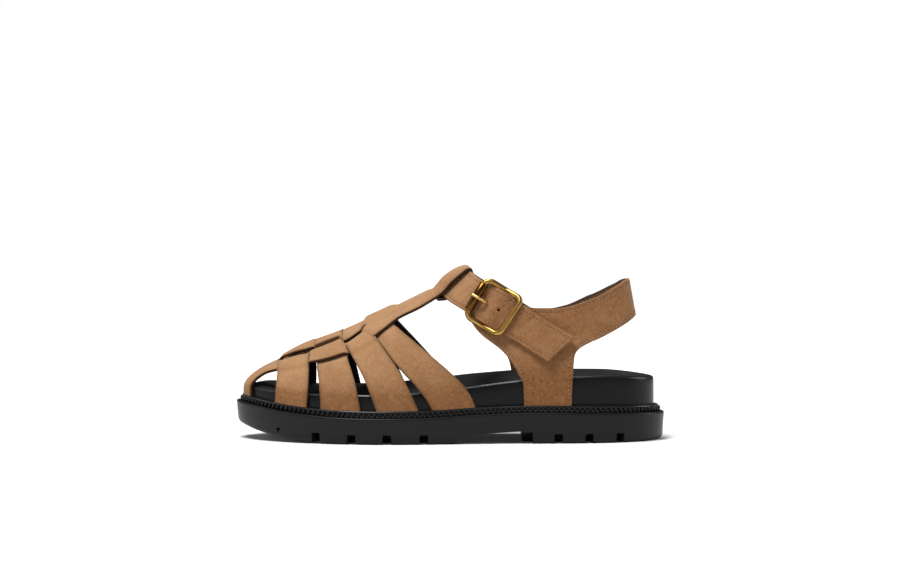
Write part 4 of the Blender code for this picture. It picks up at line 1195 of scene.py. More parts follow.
def acrylic_paint(name, colour):
    """Opal acrylic sheet, lit from below: it glows more with distance from the shoe, so that the floor
    is white to its far edge and the shadow under the shoe stays."""
    made, tree, shader, place = blank(name)
    far = add(tree, "ShaderNodeVectorMath", {0: place}, operation="LENGTH")
    glow = add(tree, "ShaderNodeMapRange", {
        "Value": far.outputs["Value"], "From Min": GLOW_FROM, "From Max": GLOW_FULL,
        "To Min": GLOW_NEAR, "To Max": 1.0}, interpolation_type="SMOOTHSTEP")
    tree.links.new(glow.outputs[0], shader.inputs["Emission Strength"])
    shader.inputs["Emission Color"].default_value = (1.0, 1.0, 1.0, 1.0)
    shader.inputs["Base Color"].default_value = opaque(colour)
    shader.inputs["Roughness"].default_value = 1.0
    shader.inputs["Specular IOR Level"].default_value = 0.0
    return made


def once(maker, name, *facts):
    """The material of that name, made the first time it is asked for."""
    return bpy.data.materials.get(name) or maker(name, *facts)


def leather_paints(colours, lining):
    """Face, cut edge and lining of a strap."""
    # The two suede paints differ only in how far the painted top light reaches down the sides.
    face, edge, back = {
        "dark": (
            ("calf_suede_brushed_worn", colours, -0.2, 1.15),
            ("leather_edge_black_dyed", colours.cut_edge),
            ("pigskin_lining_dark", colours.lining_dark),
        ),
        "pale": (
            ("calf_suede_brushed", colours, 0.0, 0.9),
            ("leather_edge_brown_dyed", colours.turned_edge),
            ("pigskin_lining_pale", colours.lining_pale),
        ),
    }[lining]
    return once(suede_paint, *face), once(edge_paint, *edge), once(lining_paint, *back)


def stitch_paints(colours):
    """Thread, and the painted shade of the needle holes, in the black dyed edge's material."""
    thread = once(thread_paint, "polyester_thread_bonded", colours.thread)
    return thread, once(edge_paint, "leather_edge_black_dyed", colours.cut_edge)


# Sizes and colours that a user would change.
def length(name, text, value):
    return FloatProperty(name=name, description=text, default=value * MM, min=0.0, unit="LENGTH")


def tint(name, text, code):
    return FloatVectorProperty(
        name=name, description=text, default=linear(code), size=3, min=0.0, max=1.0, subtype="COLOR")


class SandalSizes(bpy.types.PropertyGroup):
    """Sizes of the sandal's fine parts."""

    weave: length("Weave", "How far a strap rises over or dips under a strand", 1.2)
    stitch_pitch: length("Stitch pitch", "Length of one stitch and the gap after it", 2.5)
    stitch_gap: length("Stitch gap", "Gap between two stitches", 0.75)
    thread: length("Thread", "Thickness of the sewing thread", 0.5)
    bead_pitch: length("Bead pitch", "Distance between two beads of the welt", 3.25)
    bead_long: length("Bead length", "Length of a bead along the welt", 1.8)
    bead_tall: length("Bead height", "Height of a bead", 2.9)
    hole: length("Hole", "Diameter of a punched hole in the ankle strap", 1.9)


class SandalColours(bpy.types.PropertyGroup):
    """Colours of the sandal."""

    suede: tint("Suede", "Suede where the nap lies flat", "#8B5E38")
    # Light suede is the ruffled nap's tone and, with the fleck, the painted top light on faces that turn up.
    suede_pale_and_top_lit: tint("Light suede", "Paler suede where the nap lies another way, and painted light on faces that turn up", "#B38D69")
    suede_dark: tint("Dark suede", "Suede between the fibre tips", "#6C4426")
    suede_top_lit_fleck: tint("Suede fleck", "Suede between the fibre tips under the painted top light", "#997450")
    # This colour serves the worn edges and the painted shade by the slit.
    suede_edge_and_slit_shade: tint("Suede edge", "Suede darkened along its worn edges, and painted shade by the slit", "#38220F")
    suede_bloom: tint("Suede bloom", "Light that the fibre tips scatter", "#E2CDB6")
    cut_edge: tint("Cut edge", "Dyed edge of the vamp straps", "#33200F")
    turned_edge: tint("Turned edge", "Edge of the quarter and the ankle strap", "#7B5132")
    lining_dark: tint("Vamp lining", "Lining under the vamp straps", "#24170F")
    lining_pale: tint("Quarter lining", "Lining inside the quarter and the ankle strap", "#574433")
    thread: tint("Thread", "Sewing thread", "#94745A")
    rubber: tint("Rubber", "Outsole and welt", "#171718")
    footbed: tint("Footbed", "Moulded footbed", "#131314")
    cover: tint("Insole", "Insole cover", "#161616")
    gold: tint("Gold", "Plated brass where it is bright", "#B08A4A")
    gold_dark: tint("Dark gold", "Brown left in the plating's hollows", "#6A4A24")
    roller: tint("Roller", "Plated brass of the roller", "#6E4A1E")
    roller_dark: tint("Dark roller", "Brown of the roller", "#241204")
    prong: tint("Prong", "Plated brass of the prong", "#D9B676")
    floor: tint("Floor", "Opal floor", "#F4F4F4")


# Pieces.
RUBBER_FINISH = {"satin": (0.36, 0.16), "gloss": (0.22, 0.4)}
SOLE_ACROSS = 4
SOLE_BEVEL = 0.35
SOLE_BEVEL_ANGLE = 42

# Rings of the outsole from the tread up: inset, the line it follows and the step from that.
OUTSOLE_RINGS = (
    (3.4, "tread", 0.0),
    (2.5, "tread", 0.12),
    (1.8, "tread", 0.55),
    (1.25, "tread", 1.3),
    (0.95, "tread", 2.4),
    (0.4, "ledge", -SEAT_DROP - 6.0),
    (0.05, "ledge", -SEAT_DROP - 1.6),
    (0.0, "ledge", -SEAT_DROP - 1.1),
    (0.12, "ledge", -SEAT_DROP - 0.6),
    (0.45, "ledge", -SEAT_DROP - 0.15),
    (0.95, "ledge", -SEAT_DROP),
    (5.0, "ledge", -SEAT_DROP),
)


def rings_of(rows, inset=0.0):
    """Rings of the sole from a table, all moved inwards by inset."""
    return [ring(inset + step, above(name, rise)) for step, name, rise in rows]


def rubber(colours, finish):
    """Rubber of the outsole and the welt in one of its finishes."""
    return once(rubber_paint, f"rubber_vulcanised_{finish}", colours.rubber, *RUBBER_FINISH[finish])


class SANDAL_OT_outsole(bpy.types.Operator):
    """Moulded outsole with its lug notches, heel breast and cut-away arch"""

    bl_idname = "sandal.outsole"
    bl_label = "Outsole"

    def execute(self, context):
        low, high = above("tread", 0.0), above("ledge", -SEAT_DROP)
        build = loft(rings_of(OUTSOLE_RINGS), low, high, SOLE_ACROSS, SOLE_ACROSS)
        blank_sole = scratch("outsole_blank", mesh_of(build, "outsole_blank"))
        cutters = [scratch("arch", arch_cutter()), scratch("notches", notch_cutters())]
        for cutter in cutters:
            cut(blank_sole, cutter)
        edge = blank_sole.modifiers.new("edge", "BEVEL")
        edge.width = SOLE_BEVEL * MM
        edge.segments = 2
        edge.limit_method = "ANGLE"
        edge.angle_limit = math.radians(SOLE_BEVEL_ANGLE)
        sole = baked(blank_sole)
        for helper in (blank_sole, *cutters):
            bpy.data.objects.remove(helper, do_unlink=True)
        paint = rubber(context.scene.sandal_colours, "satin")
        piece("outsole_moulded", sole, [paint], ["outsole"], angle=32)
        return {"FINISHED"}


def near_place(x, side):
    """Index of the outline's place at x on one side."""
    return int(np.argmin(np.hypot(DENSE[:, 0] - x, DENSE[:, 1] - edge_y(side, 0.0, x))))


NOTCH_OUT = 6.0


def notch_cutters():
    """All lug notches as one cutter: boxes that run in from outside the wall, each with its own foot."""
    build = bmesh.new()
    for side in (-1, 1):
        for x, width, height, reach, (foot, foot_share) in NOTCHES:
            place = near_place(x, side)
            inward = INWARD[place]
            spot = DENSE[place] + (reach - NOTCH_OUT) / 2 * inward
            turn = math.atan2(inward[1], inward[0]) - math.pi / 2
            at = Matrix.Translation((*spot, float(profile["tread"](x)))) @ Matrix.Rotation(turn, 4, "Z")
            made = bmesh.ops.create_cube(build, size=1.0)["verts"]
            for vert in made:
                wide = width * (1.0 if vert.co.z > 0 else foot_share)
                high = height if vert.co.z > 0 else foot
                vert.co = (at @ Vector((vert.co.x * wide, vert.co.y * (reach + NOTCH_OUT), high))) * MM
    return mesh_of(build, "notches")


def arch_cutter():
    """The gap under the arch, right across the sole, rising from its front to the heel breast."""
    build = bmesh.new()
    rows = []
    for x in np.linspace(ARCH_FROM, ARCH_TO, ARCH_STEPS):
        share = (x - ARCH_FROM) / (ARCH_TO - ARCH_FROM)
        rise = ARCH_FRONT * float(wave((x - ARCH_FROM) / ARCH_EASE)) + (ARCH_REAR - ARCH_FRONT) * share
        corners = (
            (-ARCH_SIDE, ARCH_UNDER),
            (-ARCH_SIDE, rise),
            (ARCH_SIDE, rise),
            (ARCH_SIDE, ARCH_UNDER),
        )
        rows.append([build.verts.new(Vector((x, y, z)) * MM) for y, z in corners])
    capped(build, rows)
    return mesh_of(build, "arch")


# Section of the welt: inset and step from the ledge.
WELT_FOOT = GAP - SEAT_DROP
WELT_SECTION = (
    (BED_INSET - GAP, WELT_FOOT),
    (RIB_INSET + 1.4, WELT_FOOT),
    (RIB_INSET + 1.4, -1.6),
    (RIB_INSET + 1.2, -1.4),
    (RIB_INSET + 1.0, -1.2),
    (RIB_INSET + 0.95, -0.8),
    (RIB_INSET + 1.05, -0.45),
    (RIB_INSET + 1.3, -0.2),
    (RIB_INSET + 1.7, -0.05),
    (RIB_INSET + 2.3, 0.0),
    (BED_INSET - GAP, 0.0),
)
BEAD_INSET = RIB_INSET + 0.9
BEAD_Z = -2.6
BEAD_DEEP = 2.5
BEAD_TILTS = (-62, -24, 24, 62)
BEAD_SIDES = 8
BEAD_CROWN = 0.6
BEAD_SQUARE = 0.5


class SANDAL_OT_welt(bpy.types.Operator):
    """Storm welt: a rounded ledge with a row of beads under its lip"""

    bl_idname = "sandal.welt"
    bl_label = "Welt"

    def execute(self, context):
        satin = rubber(context.scene.sandal_colours, "satin")
        gloss = rubber(context.scene.sandal_colours, "gloss")
        build = bmesh.new()
        rows = []
        for inset, step in WELT_SECTION:
            rows.append([build.verts.new(p * MM) for p in ring(inset, above("ledge", step))])
        skin(build, rows + rows[:1])
        piece("welt_ledge", build, [gloss], ["welt"], angle=50)
        piece("welt_beads", bead_row(context.scene.sandal_sizes), [satin])
        return {"FINISHED"}


def bead_row(sizes):
    """Beads of the welt, evenly spaced round the sole."""
    line = DENSE + BEAD_INSET * INWARD
    run = run_of(np.concatenate([line, line[:1]]))
    count = int(run[-1] / (sizes.bead_pitch / MM))
    half = np.array([sizes.bead_long / MM, BEAD_DEEP, sizes.bead_tall / MM]) / 2
    build = bmesh.new()
    for i in range(count):
        place = int(np.searchsorted(run, (i + 0.5) * run[-1] / count)) % len(line)
        inward = INWARD[place]
        axes = np.array([[-inward[1], inward[0], 0.0], [*inward, 0.0], [0.0, 0.0, 1.0]])
        middle = np.array([*line[place], float(profile["ledge"](line[place, 0])) + BEAD_Z])
        rows = []
        for tilt in BEAD_TILTS:
            row = []
            for j in range(BEAD_SIDES):
                turn = 2 * math.pi * (j + 0.5) / BEAD_SIDES
                level = math.cos(math.radians(tilt)) ** BEAD_CROWN
                flat = np.array([math.cos(turn), math.sin(turn)])
                flat = np.sign(flat) * np.abs(flat) ** BEAD_SQUARE * level
                spot = np.array([*flat, math.sin(math.radians(tilt))])
                row.append(build.verts.new((middle + (spot * half) @ axes) * MM))
            rows.append(row)
        capped(build, rows)
    return build


# Rings of the footbed up and over its rim, and of the insole cover: the step inwards from the bed's
# inset, the line it follows and the step from that.
BED_SEAT = GAP - SEAT_DROP
BED_ACROSS = 22
RIM_SHINE = 1.4
COVER_TOP = 0.1
COVER_FOOT = COVER_TOP + COVER
FOOTBED_RINGS = (
    (0.3, "ledge", BED_SEAT),
    (0.0, "ledge", BED_SEAT + 1.2),
    (0.0, "rim", -6.0),
    (0.05, "rim", -2.2),
    (0.2, "rim", -1.3),
    (0.5, "rim", -0.65),
    (1.0, "rim", -0.2),
    (1.6, "rim", 0.0),
    (2.2, "rim", -0.05),
    (2.6, "bed", -0.2),
    (2.75, "bed", -COVER_FOOT - GAP),
)
COVER_RINGS = (
    (2.95, "bed", -COVER_FOOT),
    (2.95, "bed", -0.45),
    (3.15, "bed", -0.2),
    (3.6, "bed", -COVER_TOP),
)


class SANDAL_OT_footbed(bpy.types.Operator):
    """Moulded footbed with its rounded rim, and the cover that lies in its recess"""

    bl_idname = "sandal.footbed"
    bl_label = "Footbed and insole"

    def execute(self, context):
        colours = context.scene.sandal_colours
        low, high = above("ledge", BED_SEAT), above("bed", -COVER_FOOT - GAP)
        build = loft(rings_of(FOOTBED_RINGS, BED_INSET), low, high, SOLE_ACROSS, BED_ACROSS)
        paint = once(rubber_paint, "foam_moulded_skin", colours.footbed, 0.3, 0.12, 0.5)
        rim = once(rubber_paint, "foam_moulded_burnished", colours.footbed, 0.3, 0.45, 0.5)
        for face in build.faces:
            x, y, z = face.calc_center_median() / MM
            if z > float(rim_z(x, y)) - RIM_SHINE:
                face.material_index = 1
        piece("footbed_moulded", build, [paint, rim], ["footbed"], angle=60)
        low, high = above("bed", -COVER_FOOT), above("bed", -COVER_TOP)
        build = loft(rings_of(COVER_RINGS, BED_INSET), low, high, BED_ACROSS, BED_ACROSS)
        cover = once(lining_paint, "microfibre_cover_embossed", colours.cover, 1.1)
        piece("insole_cover", build, [cover], ["insole"], angle=60)
        return {"FINISHED"}


def crossings(strand, girth, ease, tilted):
    """Where along the shoe a strand turns from each strap to the next: just under the strap that covers it.

    Off the last strap it turns over the run ease; tilted is the share of its tilt at this girth.
    """
    strap = strand.replace("strand", "strap")
    made = []
    level = 0.0
    last = None
    for name, (front, rear) in strap_edges.items():
        over, under, tilt = (LEVELS[name][LEVEL_COLUMNS.index(n)] for n in (strap, strand, "strand_tilt"))
        under += tilt * tilted
        place = float(front(girth)) + CROSS_IN
        if last is not None and under > over:
            place = last - CROSS_IN
        made.append((place, under - level, CROSS_RUN))
        level = under
        last = float(rear(girth))
    return made + [(last + ease / 2, -level, ease)]


def strand_offset(x, turns, weave):
    """How far a strand rides above (+) or below (-) the last where it crosses each strap."""
    return weave * sum(step * float(wave((x - place) / run + 0.5)) for place, step, run in turns)


def strap_normals(grid):
    """Outward directions of a cross strap, away from the foot inside it."""
    return grid_normals(grid, (grid[..., 0].mean(), *VAMP_CORE[1:]))


def strap_grid(name, weave):
    """Middle surface of a cross strap from the outer to the inner welt, and the painted shade on it where it
    comes up through the slit.
    """
    front, rear = strap_edges[name]
    near, far = LEVELS[name][:2]
    shares = spread(STRAP_WIDE, STRAP_MIDDLE)
    grid = np.zeros((STRAP_ROWS, len(shares), 3))
    even = np.linspace(0, 1, STRAP_ROWS)
    for j, g in enumerate(even + GIRTH_BUNCH * np.sin(2 * np.pi * even)):
        for k, t in enumerate(shares):
            grid[j, k] = girth_point((1 - t) * float(front(g)) + t * float(rear(g)), g)
    over = np.zeros(grid.shape[:2])
    rub = np.zeros(grid.shape[:2])
    for j, line in enumerate(grid):
        for k, (x, y, z) in enumerate(line):
            edge, slit, inner = (float(strip_edges[n](x)) for n in STRIP_COLUMNS[1:])
            if near > far:
                turn = wave((y - slit) / DIP_RUN + 1.0)
                top = far
            else:
                turn = wave((y - slit) / RISE_RUN)
                top = far - RISE_FADE * shares[k]
            over[j, k] = weave * ((1 - turn) * near + turn * top)
            over[j, k] *= wave((y - edge + WEAVE_EASE) / WEAVE_EASE)
            over[j, k] *= wave((inner + WEAVE_EASE - y) / WEAVE_EASE)
            # Painted shade where the strap rises out of the slit: it stands for the shadow in the gap beside
            # the strand's edge.
            if near < far:
                reach = SLIT_SHADE_FROM + SLIT_SHADE_RUN * math.sin(math.pi * shares[k]) ** SLIT_SHADE_ENDS
                rub[j, k] = SLIT_SHADE_DARK * bell(((y - slit - SLIT_SHADE_IN) / reach) ** 2)
            if name == REAR_STRAP:
                tuck = wave(TUCK_FROM - TUCK_SLOPE * shares[k]) * bell((y - TUCK_Y) / TUCK_RUN)
                over[j, k] -= TUCK_DEEP * weave * tuck
    return grid + over[..., None] * strap_normals(grid), rub


def strip_grid(weave):
    """Middle surface of the centre strip from the toe to the foot of the loop, slit between its strands."""
    half = spread(STRAND_WIDE, STRAND_MIDDLE)
    side = len(half)
    shares = np.concatenate([half * (1 - SLIT_SHARE), 1 + SLIT_SHARE + half * (1 - SLIT_SHARE)])
    grid = np.zeros((STRIP_ROWS, len(shares), 3))
    xs = np.linspace(TIP[0] + TOE_GAP, TOE_REACH, TOE_STEPS)
    for k, share in enumerate(shares):

        def line_y(x):
            edge, slit, inner = (strip_edges[n](x) for n in STRIP_COLUMNS[1:])
            return edge + share * (slit - edge) if share < 1 else slit + (share - 1) * (inner - slit)

        ys = line_y(xs)
        inside = (edge_y(-1, FOOT_INSET, xs) < ys) & (ys < edge_y(1, FOOT_INSET, xs))
        start = float(xs[int(np.argmax(inside))])
        foot_y = float(line_y(start))
        base = float(profile["ledge"](start)) - TUCK
        rim = height_at(start, foot_y)
        for j in range(FOOT_ROWS):
            grid[j, k] = (start, foot_y, base + (rim - base) * j / FOOT_ROWS)
        for j, t in enumerate(np.linspace(0, 1, STRIP_ROWS - FOOT_ROWS)):
            far = STRIP_BUNCH * t * t + (1 - STRIP_BUNCH) * t ** STRIP_START
            x = start + (STRIP_END - start) * far
            y = float(line_y(x))
            grid[j + FOOT_ROWS, k] = (x, y, height_at(x, y))
    lift = np.zeros(grid.shape[:2])
    for k, share in enumerate(shares):
        strand = "strand_outer" if k < side else "strand_inner"
        girth = np.interp(share, (0, 1, 2), STRIP_GIRTH)
        turns = crossings(strand, girth, EASE_OUTER - EASE_STEP * wave(share / 2), share if k < side else 0.0)
        for j in range(FOOT_ROWS, STRIP_ROWS):
            lift[j, k] = strand_offset(grid[j, k, 0], turns, weave)
    bridge = SLIT_BRIDGE
    opened = [SLIT_FROM < x < SLIT_TO and not bridge[0] < x < bridge[1] for x in grid[:, side, 0]]
    return grid + lift[..., None] * grid_normals(grid, VAMP_CORE), opened, side


def loop_path():
    """Places across and out from the ankle strap that the T-bar's loop follows, with its puff there."""
    path = [(across, LOOP_CLEAR, puff) for across, puff in LOOP_FACE]
    for angle in LOOP_ANGLES:
        a = math.radians(angle)
        out = LOOP_MID + (LOOP_TURN - LOOP_FLAT) * math.sin(a)
        path.append((LOOP_EDGE + LOOP_TURN * math.cos(a), out, 0.0))
    return path + [(across, out, 0.0) for across, out in LOOP_BEHIND]


def loop_rows(shares):
    """Rows that carry the T-bar over the ankle strap, round its top edge and back under the T-bar.

    The loop is stiffer than the strap in it, so it bends down less at its two sides, and it puffs up
    most in the middle.
    """
    along = strap_axes(INSTEP_RUN)[0]
    made = []
    for w, out, puff in loop_path():
        for t in shares:
            off = LOOP_WIDTH * (t - 0.5)
            n = out + puff * (1 - LOOP_ARCH * (2 * t - 1) ** 2)
            flat = strap_point(INSTEP_RUN, w, n) + off * along
            made.append((1 - LOOP_STIFF) * strap_point(INSTEP_RUN + off, w, n) + LOOP_STIFF * flat)
    return np.array(made).reshape(-1, len(shares), 3)


class SANDAL_OT_vamp(bpy.types.Operator):
    """Cross straps woven through the slit centre strip, and its loop round the ankle strap"""

    bl_idname = "sandal.vamp"
    bl_label = "Vamp"

    def execute(self, context):
        weave = context.scene.sandal_sizes.weave / MM
        paints = leather_paints(context.scene.sandal_colours, "dark")
        for name in STRAPS:
            grid, rub = strap_grid(name, weave)
            leather(
                f"vamp_strap_{name}", grid, strap_normals(grid), from_edges(grid), paints,
                wear=VAMP_WEAR, rub=rub,
            )
        strip, opened, side = strip_grid(weave)
        first = np.linalg.norm(strip[-1] - strip[-1, :1], axis=1)
        join = strip[-JOIN_ROWS::JOIN_STEP]
        rough = np.concatenate([join, loop_rows(first / first[-1])])
        run = run_of(rough[:, side])
        steps = np.arange(run[len(join) - 1], run[-1], LOOP_STEP)[1:]
        fine = natural(run, rough.reshape(len(rough), -1))(steps)
        whole = np.concatenate([strip[:-1], fine.reshape(len(fine), -1, 3)])
        opened = np.array(opened[:-1] + [False] * len(fine))
        leather(
            "vamp_strip", whole, grid_normals(whole, VAMP_CORE), from_edges(whole, side, opened), paints,
            ["vamp"], wear=VAMP_WEAR,
            skip=lambda j, k: k == side - 1 and j + 1 < len(opened) and opened[j] and opened[j + 1],
        )
        return {"FINISHED"}


# Places along each side where the quarter's columns change their spacing, and the spacing after each.
OUTER_KNOTS = (OUTER_SIDE[0][0], 45.2, 45.9, 49.0, 71.2, 74.6, 77.0, 80.0, BACK_FROM)
INNER_KNOTS = (INNER_SIDE[0][0], 39.8, 40.4, 43.6, 70.0, 73.4, 77.0, 80.0, BACK_FROM)
KNOT_STEPS = (0.8, 0.1, 0.45, 1.2, 0.45, 0.15, 0.5, 0.8)
BACK_STEPS = 110
QUARTER_MIDDLE = 26
BORDER_FINE = 0.5
BORDER_STEP = 0.3
PALE_SINK = 0.1

# Where the quarter's stitches stop and start.
SEAM_SLACK = 0.12
SEAM_FOOT = 4.0
SEAM_END = 1.5
SEAM_BREAK = 4.0
SEAM_SHORT = 12


def quarter_runs():
    """Runs round the quarter: close together where a stem's side is steep."""
    runs = []
    for knots, start, sign in ((OUTER_KNOTS, 0.0, 1), (INNER_KNOTS, QUARTER_RUN, -1)):
        for a, b, step in zip(knots, knots[1:], KNOT_STEPS):
            runs += [start + sign * (x - knots[0]) for x in np.arange(a, b, step)]
    runs += list(np.linspace(OUTER_RUN, OUTER_RUN + BACK_RUN, BACK_STEPS))
    runs += [QUARTER_RUN]
    return np.unique(np.round(runs, 4))


def quarter_border():
    """The quarter's low and high edges as closely spaced places (run, height)."""
    lines = []
    for end in ("low", "high"):
        runs = np.unique(np.concatenate([quarter_runs(), np.arange(0, QUARTER_RUN, BORDER_FINE)]))
        line = np.array([(v, quarter_edge(v, end)) for v in runs])
        far = run_of(line)
        even = np.arange(0, far[-1], BORDER_STEP)
        lines.append(np.column_stack([np.interp(even, far, line[:, c]) for c in range(2)]))
    return lines


def search_tree(places):
    """A tree that finds the nearest of some places (run, height) on the quarter."""
    tree = KDTree(len(places))
    for i, (v, z) in enumerate(places):
        tree.insert((v, z, 0.0), i)
    tree.balance()
    return tree


class SANDAL_OT_quarter(bpy.types.Operator):
    """Heel band with a stem down to the sole on each side, sewn along its edges"""

    bl_idname = "sandal.quarter"
    bl_label = "Quarter"

    def execute(self, context):
        colours = context.scene.sandal_colours
        near = np.array(EDGE_STEPS)
        points = []
        out = []
        places = []
        for v in quarter_runs():
            low, high = quarter_edge(v, "low"), quarter_edge(v, "high")
            middle = np.linspace(low + near[-1], high - near[-1], QUARTER_MIDDLE)[1:-1]
            heights = np.concatenate([low + near, middle, high - near[::-1]])
            made = [quarter_frame(v, z) for z in heights]
            points.append([m[0] for m in made])
            out.append([m[1] for m in made])
            places.append([(v, z) for z in heights])
        border = [place for line in quarter_border() for place in line]
        for v in (0.0, QUARTER_RUN):
            heights = np.arange(quarter_edge(v, "low"), quarter_edge(v, "high"), BORDER_STEP)
            border += [(v, z) for z in heights]
        tree = search_tree(border)
        away = np.array([[tree.find((v, z, 0.0))[2] for v, z in line] for line in places])
        leather(
            "quarter_band", np.array(points), np.array(out), away, leather_paints(colours, "pale"),
            ["quarter"], sink=PALE_SINK,
        )
        seams = quarter_stitches(context.scene.sandal_sizes)
        piece("quarter_stitches", seams, stitch_paints(colours))
        return {"FINISHED"}


def quarter_stitches(sizes):
    """Stitches along the quarter's edges."""
    build = bmesh.new()
    low, high = quarter_border()
    for line, turn in ((low, 1), (high, -1)):
        ahead = np.gradient(line, axis=0)
        ahead /= np.linalg.norm(ahead, axis=1)[:, None]
        inner = line + turn * STITCH_IN * np.column_stack([-ahead[:, 1], ahead[:, 0]])
        tree = search_tree(line)
        kept = []
        for v, z in inner:
            clear = tree.find((v, z, 0.0))[2] > STITCH_IN - SEAM_SLACK
            if clear and z > STEM_FOOT + SEAM_FOOT and SEAM_END < v < QUARTER_RUN - SEAM_END:
                kept.append((v, z))
        breaks = [i for i in range(1, len(kept)) if math.dist(kept[i], kept[i - 1]) > SEAM_BREAK]
        for start, stop in zip([0] + breaks, breaks + [len(kept)]):
            frames = [quarter_frame(v, z) for v, z in kept[start:stop]]
            if len(frames) < SEAM_SHORT:
                continue
            middle = np.array([f[0] for f in frames])
            out = np.array([f[1] for f in frames])
            sew_through(build, middle, out, sizes)
    return build


# Creases of the ankle strap: run, place across, depth, length and width.
CREASES = (
    (26.0, 4.5, 0.35, 9.0, 1.8),
    (39.0, 8.5, 0.6, 4.0, 1.0),
    (42.5, 9.5, 0.4, 3.5, 0.9),
    (59.0, -4.0, 0.4, 7.0, 2.2),
    (63.5, 3.0, 0.35, 8.0, 2.0),
    (72.0, -2.0, 0.3, 8.0, 2.4),
    (105.0, 2.0, 0.35, 9.0, 2.4),
)
CREASE_SLANT = 0.25
ANKLE_ROWS = 190
ANKLE_WIDE = 21.5
ANKLE_MIDDLE = 10

# Holes along the ankle strap, and how far their punch reaches below and above it.
HOLE_RUNS = (BUCKLE_RUN + 5.4, BUCKLE_RUN - 3.2)
HOLE_SIDES = 20
PUNCH_REACH = (-4.0, 6.0)

# Seams of the ankle strap: how far before its sewn end they stop, and their steps.
STRAP_SEAM_END = 2.0
STRAP_SEAM_STEP = 0.6
TAIL_SEAM_STEPS = 30


class SANDAL_OT_ankle_strap(bpy.types.Operator):
    """Ankle strap with its slanted tail, punched holes, soft creases and stitched edges"""

    bl_idname = "sandal.ankle_strap"
    bl_label = "Ankle strap"

    def execute(self, context):
        sizes = context.scene.sandal_sizes
        colours = context.scene.sandal_colours
        lengthwise = np.linspace(EDGE_STEPS[-1], STRAP_RUN[-1], ANKLE_ROWS)[1:]
        runs = np.concatenate([EDGE_STEPS, lengthwise])
        shares = spread(ANKLE_WIDE, ANKLE_MIDDLE)
        points = np.zeros((len(runs), len(shares), 3))
        dent = np.zeros(points.shape[:2])
        for j, s in enumerate(runs):
            for k, t in enumerate(shares):
                w = float(strap_width(s)) * (t - 0.5)
                at = s - tail_shift(s, w)
                points[j, k] = strap_point(at, w)
                for run, across, depth, long, wide in CREASES:
                    slanted = at - run + CREASE_SLANT * (w - across)
                    dent[j, k] += depth * bell(slanted / wide) * bell((w - across) / long)
        out = grid_normals(points, ANKLE_CORE)
        away = np.minimum(from_edges(points), runs[:, None])
        strap = leather(
            "ankle_strap_suede", points, out, away, leather_paints(colours, "pale"),
            ["ankle_strap"], sink=PALE_SINK, dent=dent,
        )
        punch(strap, sizes.hole / MM)
        piece("ankle_strap_stitches", strap_stitches(sizes), stitch_paints(colours))
        return {"FINISHED"}


def punch(strap, hole):
    """Round holes through the ankle strap: one for the prong and a spare one."""
    build = bmesh.new()
    for run in HOLE_RUNS:
        across = strap_axes(run)[1]
        line = [strap_base(run, 0.0, n) for n in PUNCH_REACH]
        tube(build, line, [hole / 2] * 2, HOLE_SIDES, side_axes=[across] * 2)
    mesh = mesh_of(build, "holes")
    cutter = scratch("holes", mesh)
    for paint in strap.data.materials:
        mesh.materials.append(paint)
    for face in mesh.polygons:
        face.material_index = 1
    cut(strap, cutter)
    made = baked(strap)
    strap.modifiers.clear()
    strap.data = made
    bpy.data.objects.remove(cutter, do_unlink=True)


def strap_stitches(sizes):
    """Stitches along both edges of the ankle strap and across its tail."""
    build = bmesh.new()
    lines = []
    for sign in (-1, 1):
        side = []
        for s in np.arange(STITCH_IN, STRAP_RUN[-1] - STRAP_SEAM_END, STRAP_SEAM_STEP):
            w = sign * (float(strap_width(s)) / 2 - STITCH_IN)
            side.append((s - tail_shift(s, w), w))
        lines.append(side)
    ends = [lines[0][0][1], lines[1][0][1]]
    lines.append([(STITCH_IN - tail_shift(STITCH_IN, w), w) for w in np.linspace(*ends, TAIL_SEAM_STEPS)])
    for line in lines:
        middle = np.array([strap_point(s, w) for s, w in line])
        out = np.array([strap_axes(s)[2] for s, w in line])
        sew_through(build, middle, out, sizes)
    return build


# Steps of the buckle's meshes, and the round of its prong's tip.
CORNER_STEP = 9
RAIL_STEPS = 22
WIRE_SIDES = 20
BAR_STEPS = 5
BAR_SIDES = 14
ROLLER_SIDES = 36
PRONG_STEPS = 40
TIP_LONG = 1.0
TIP_RUN = 1.02
TIP_ROUND = 0.94


class SANDAL_OT_buckle(bpy.types.Operator):
    """Buckle frame with its centre bar, the roller and the prong"""

    bl_idname = "sandal.buckle"
    bl_label = "Buckle"

    def execute(self, context):
        colours = context.scene.sandal_colours
        gold = once(brass_paint, "brass_antique_plated", colours.gold, colours.gold_dark)
        brown = once(brass_paint, "brass_antique_browned", colours.roller, colours.roller_dark, 0.24)
        pale = once(brass_paint, "brass_polished_plated", colours.prong, colours.gold)
        piece("buckle_frame_cast", frame_wire(), [gold, brown], ["buckle_frame"], angle=60)
        piece("buckle_roller_tube", roller_tube(), [brown], ["buckle_roller"], angle=40)
        piece("buckle_prong_wire", prong_wire(), [pale], ["buckle_prong"], angle=60)
        return {"FINISHED"}


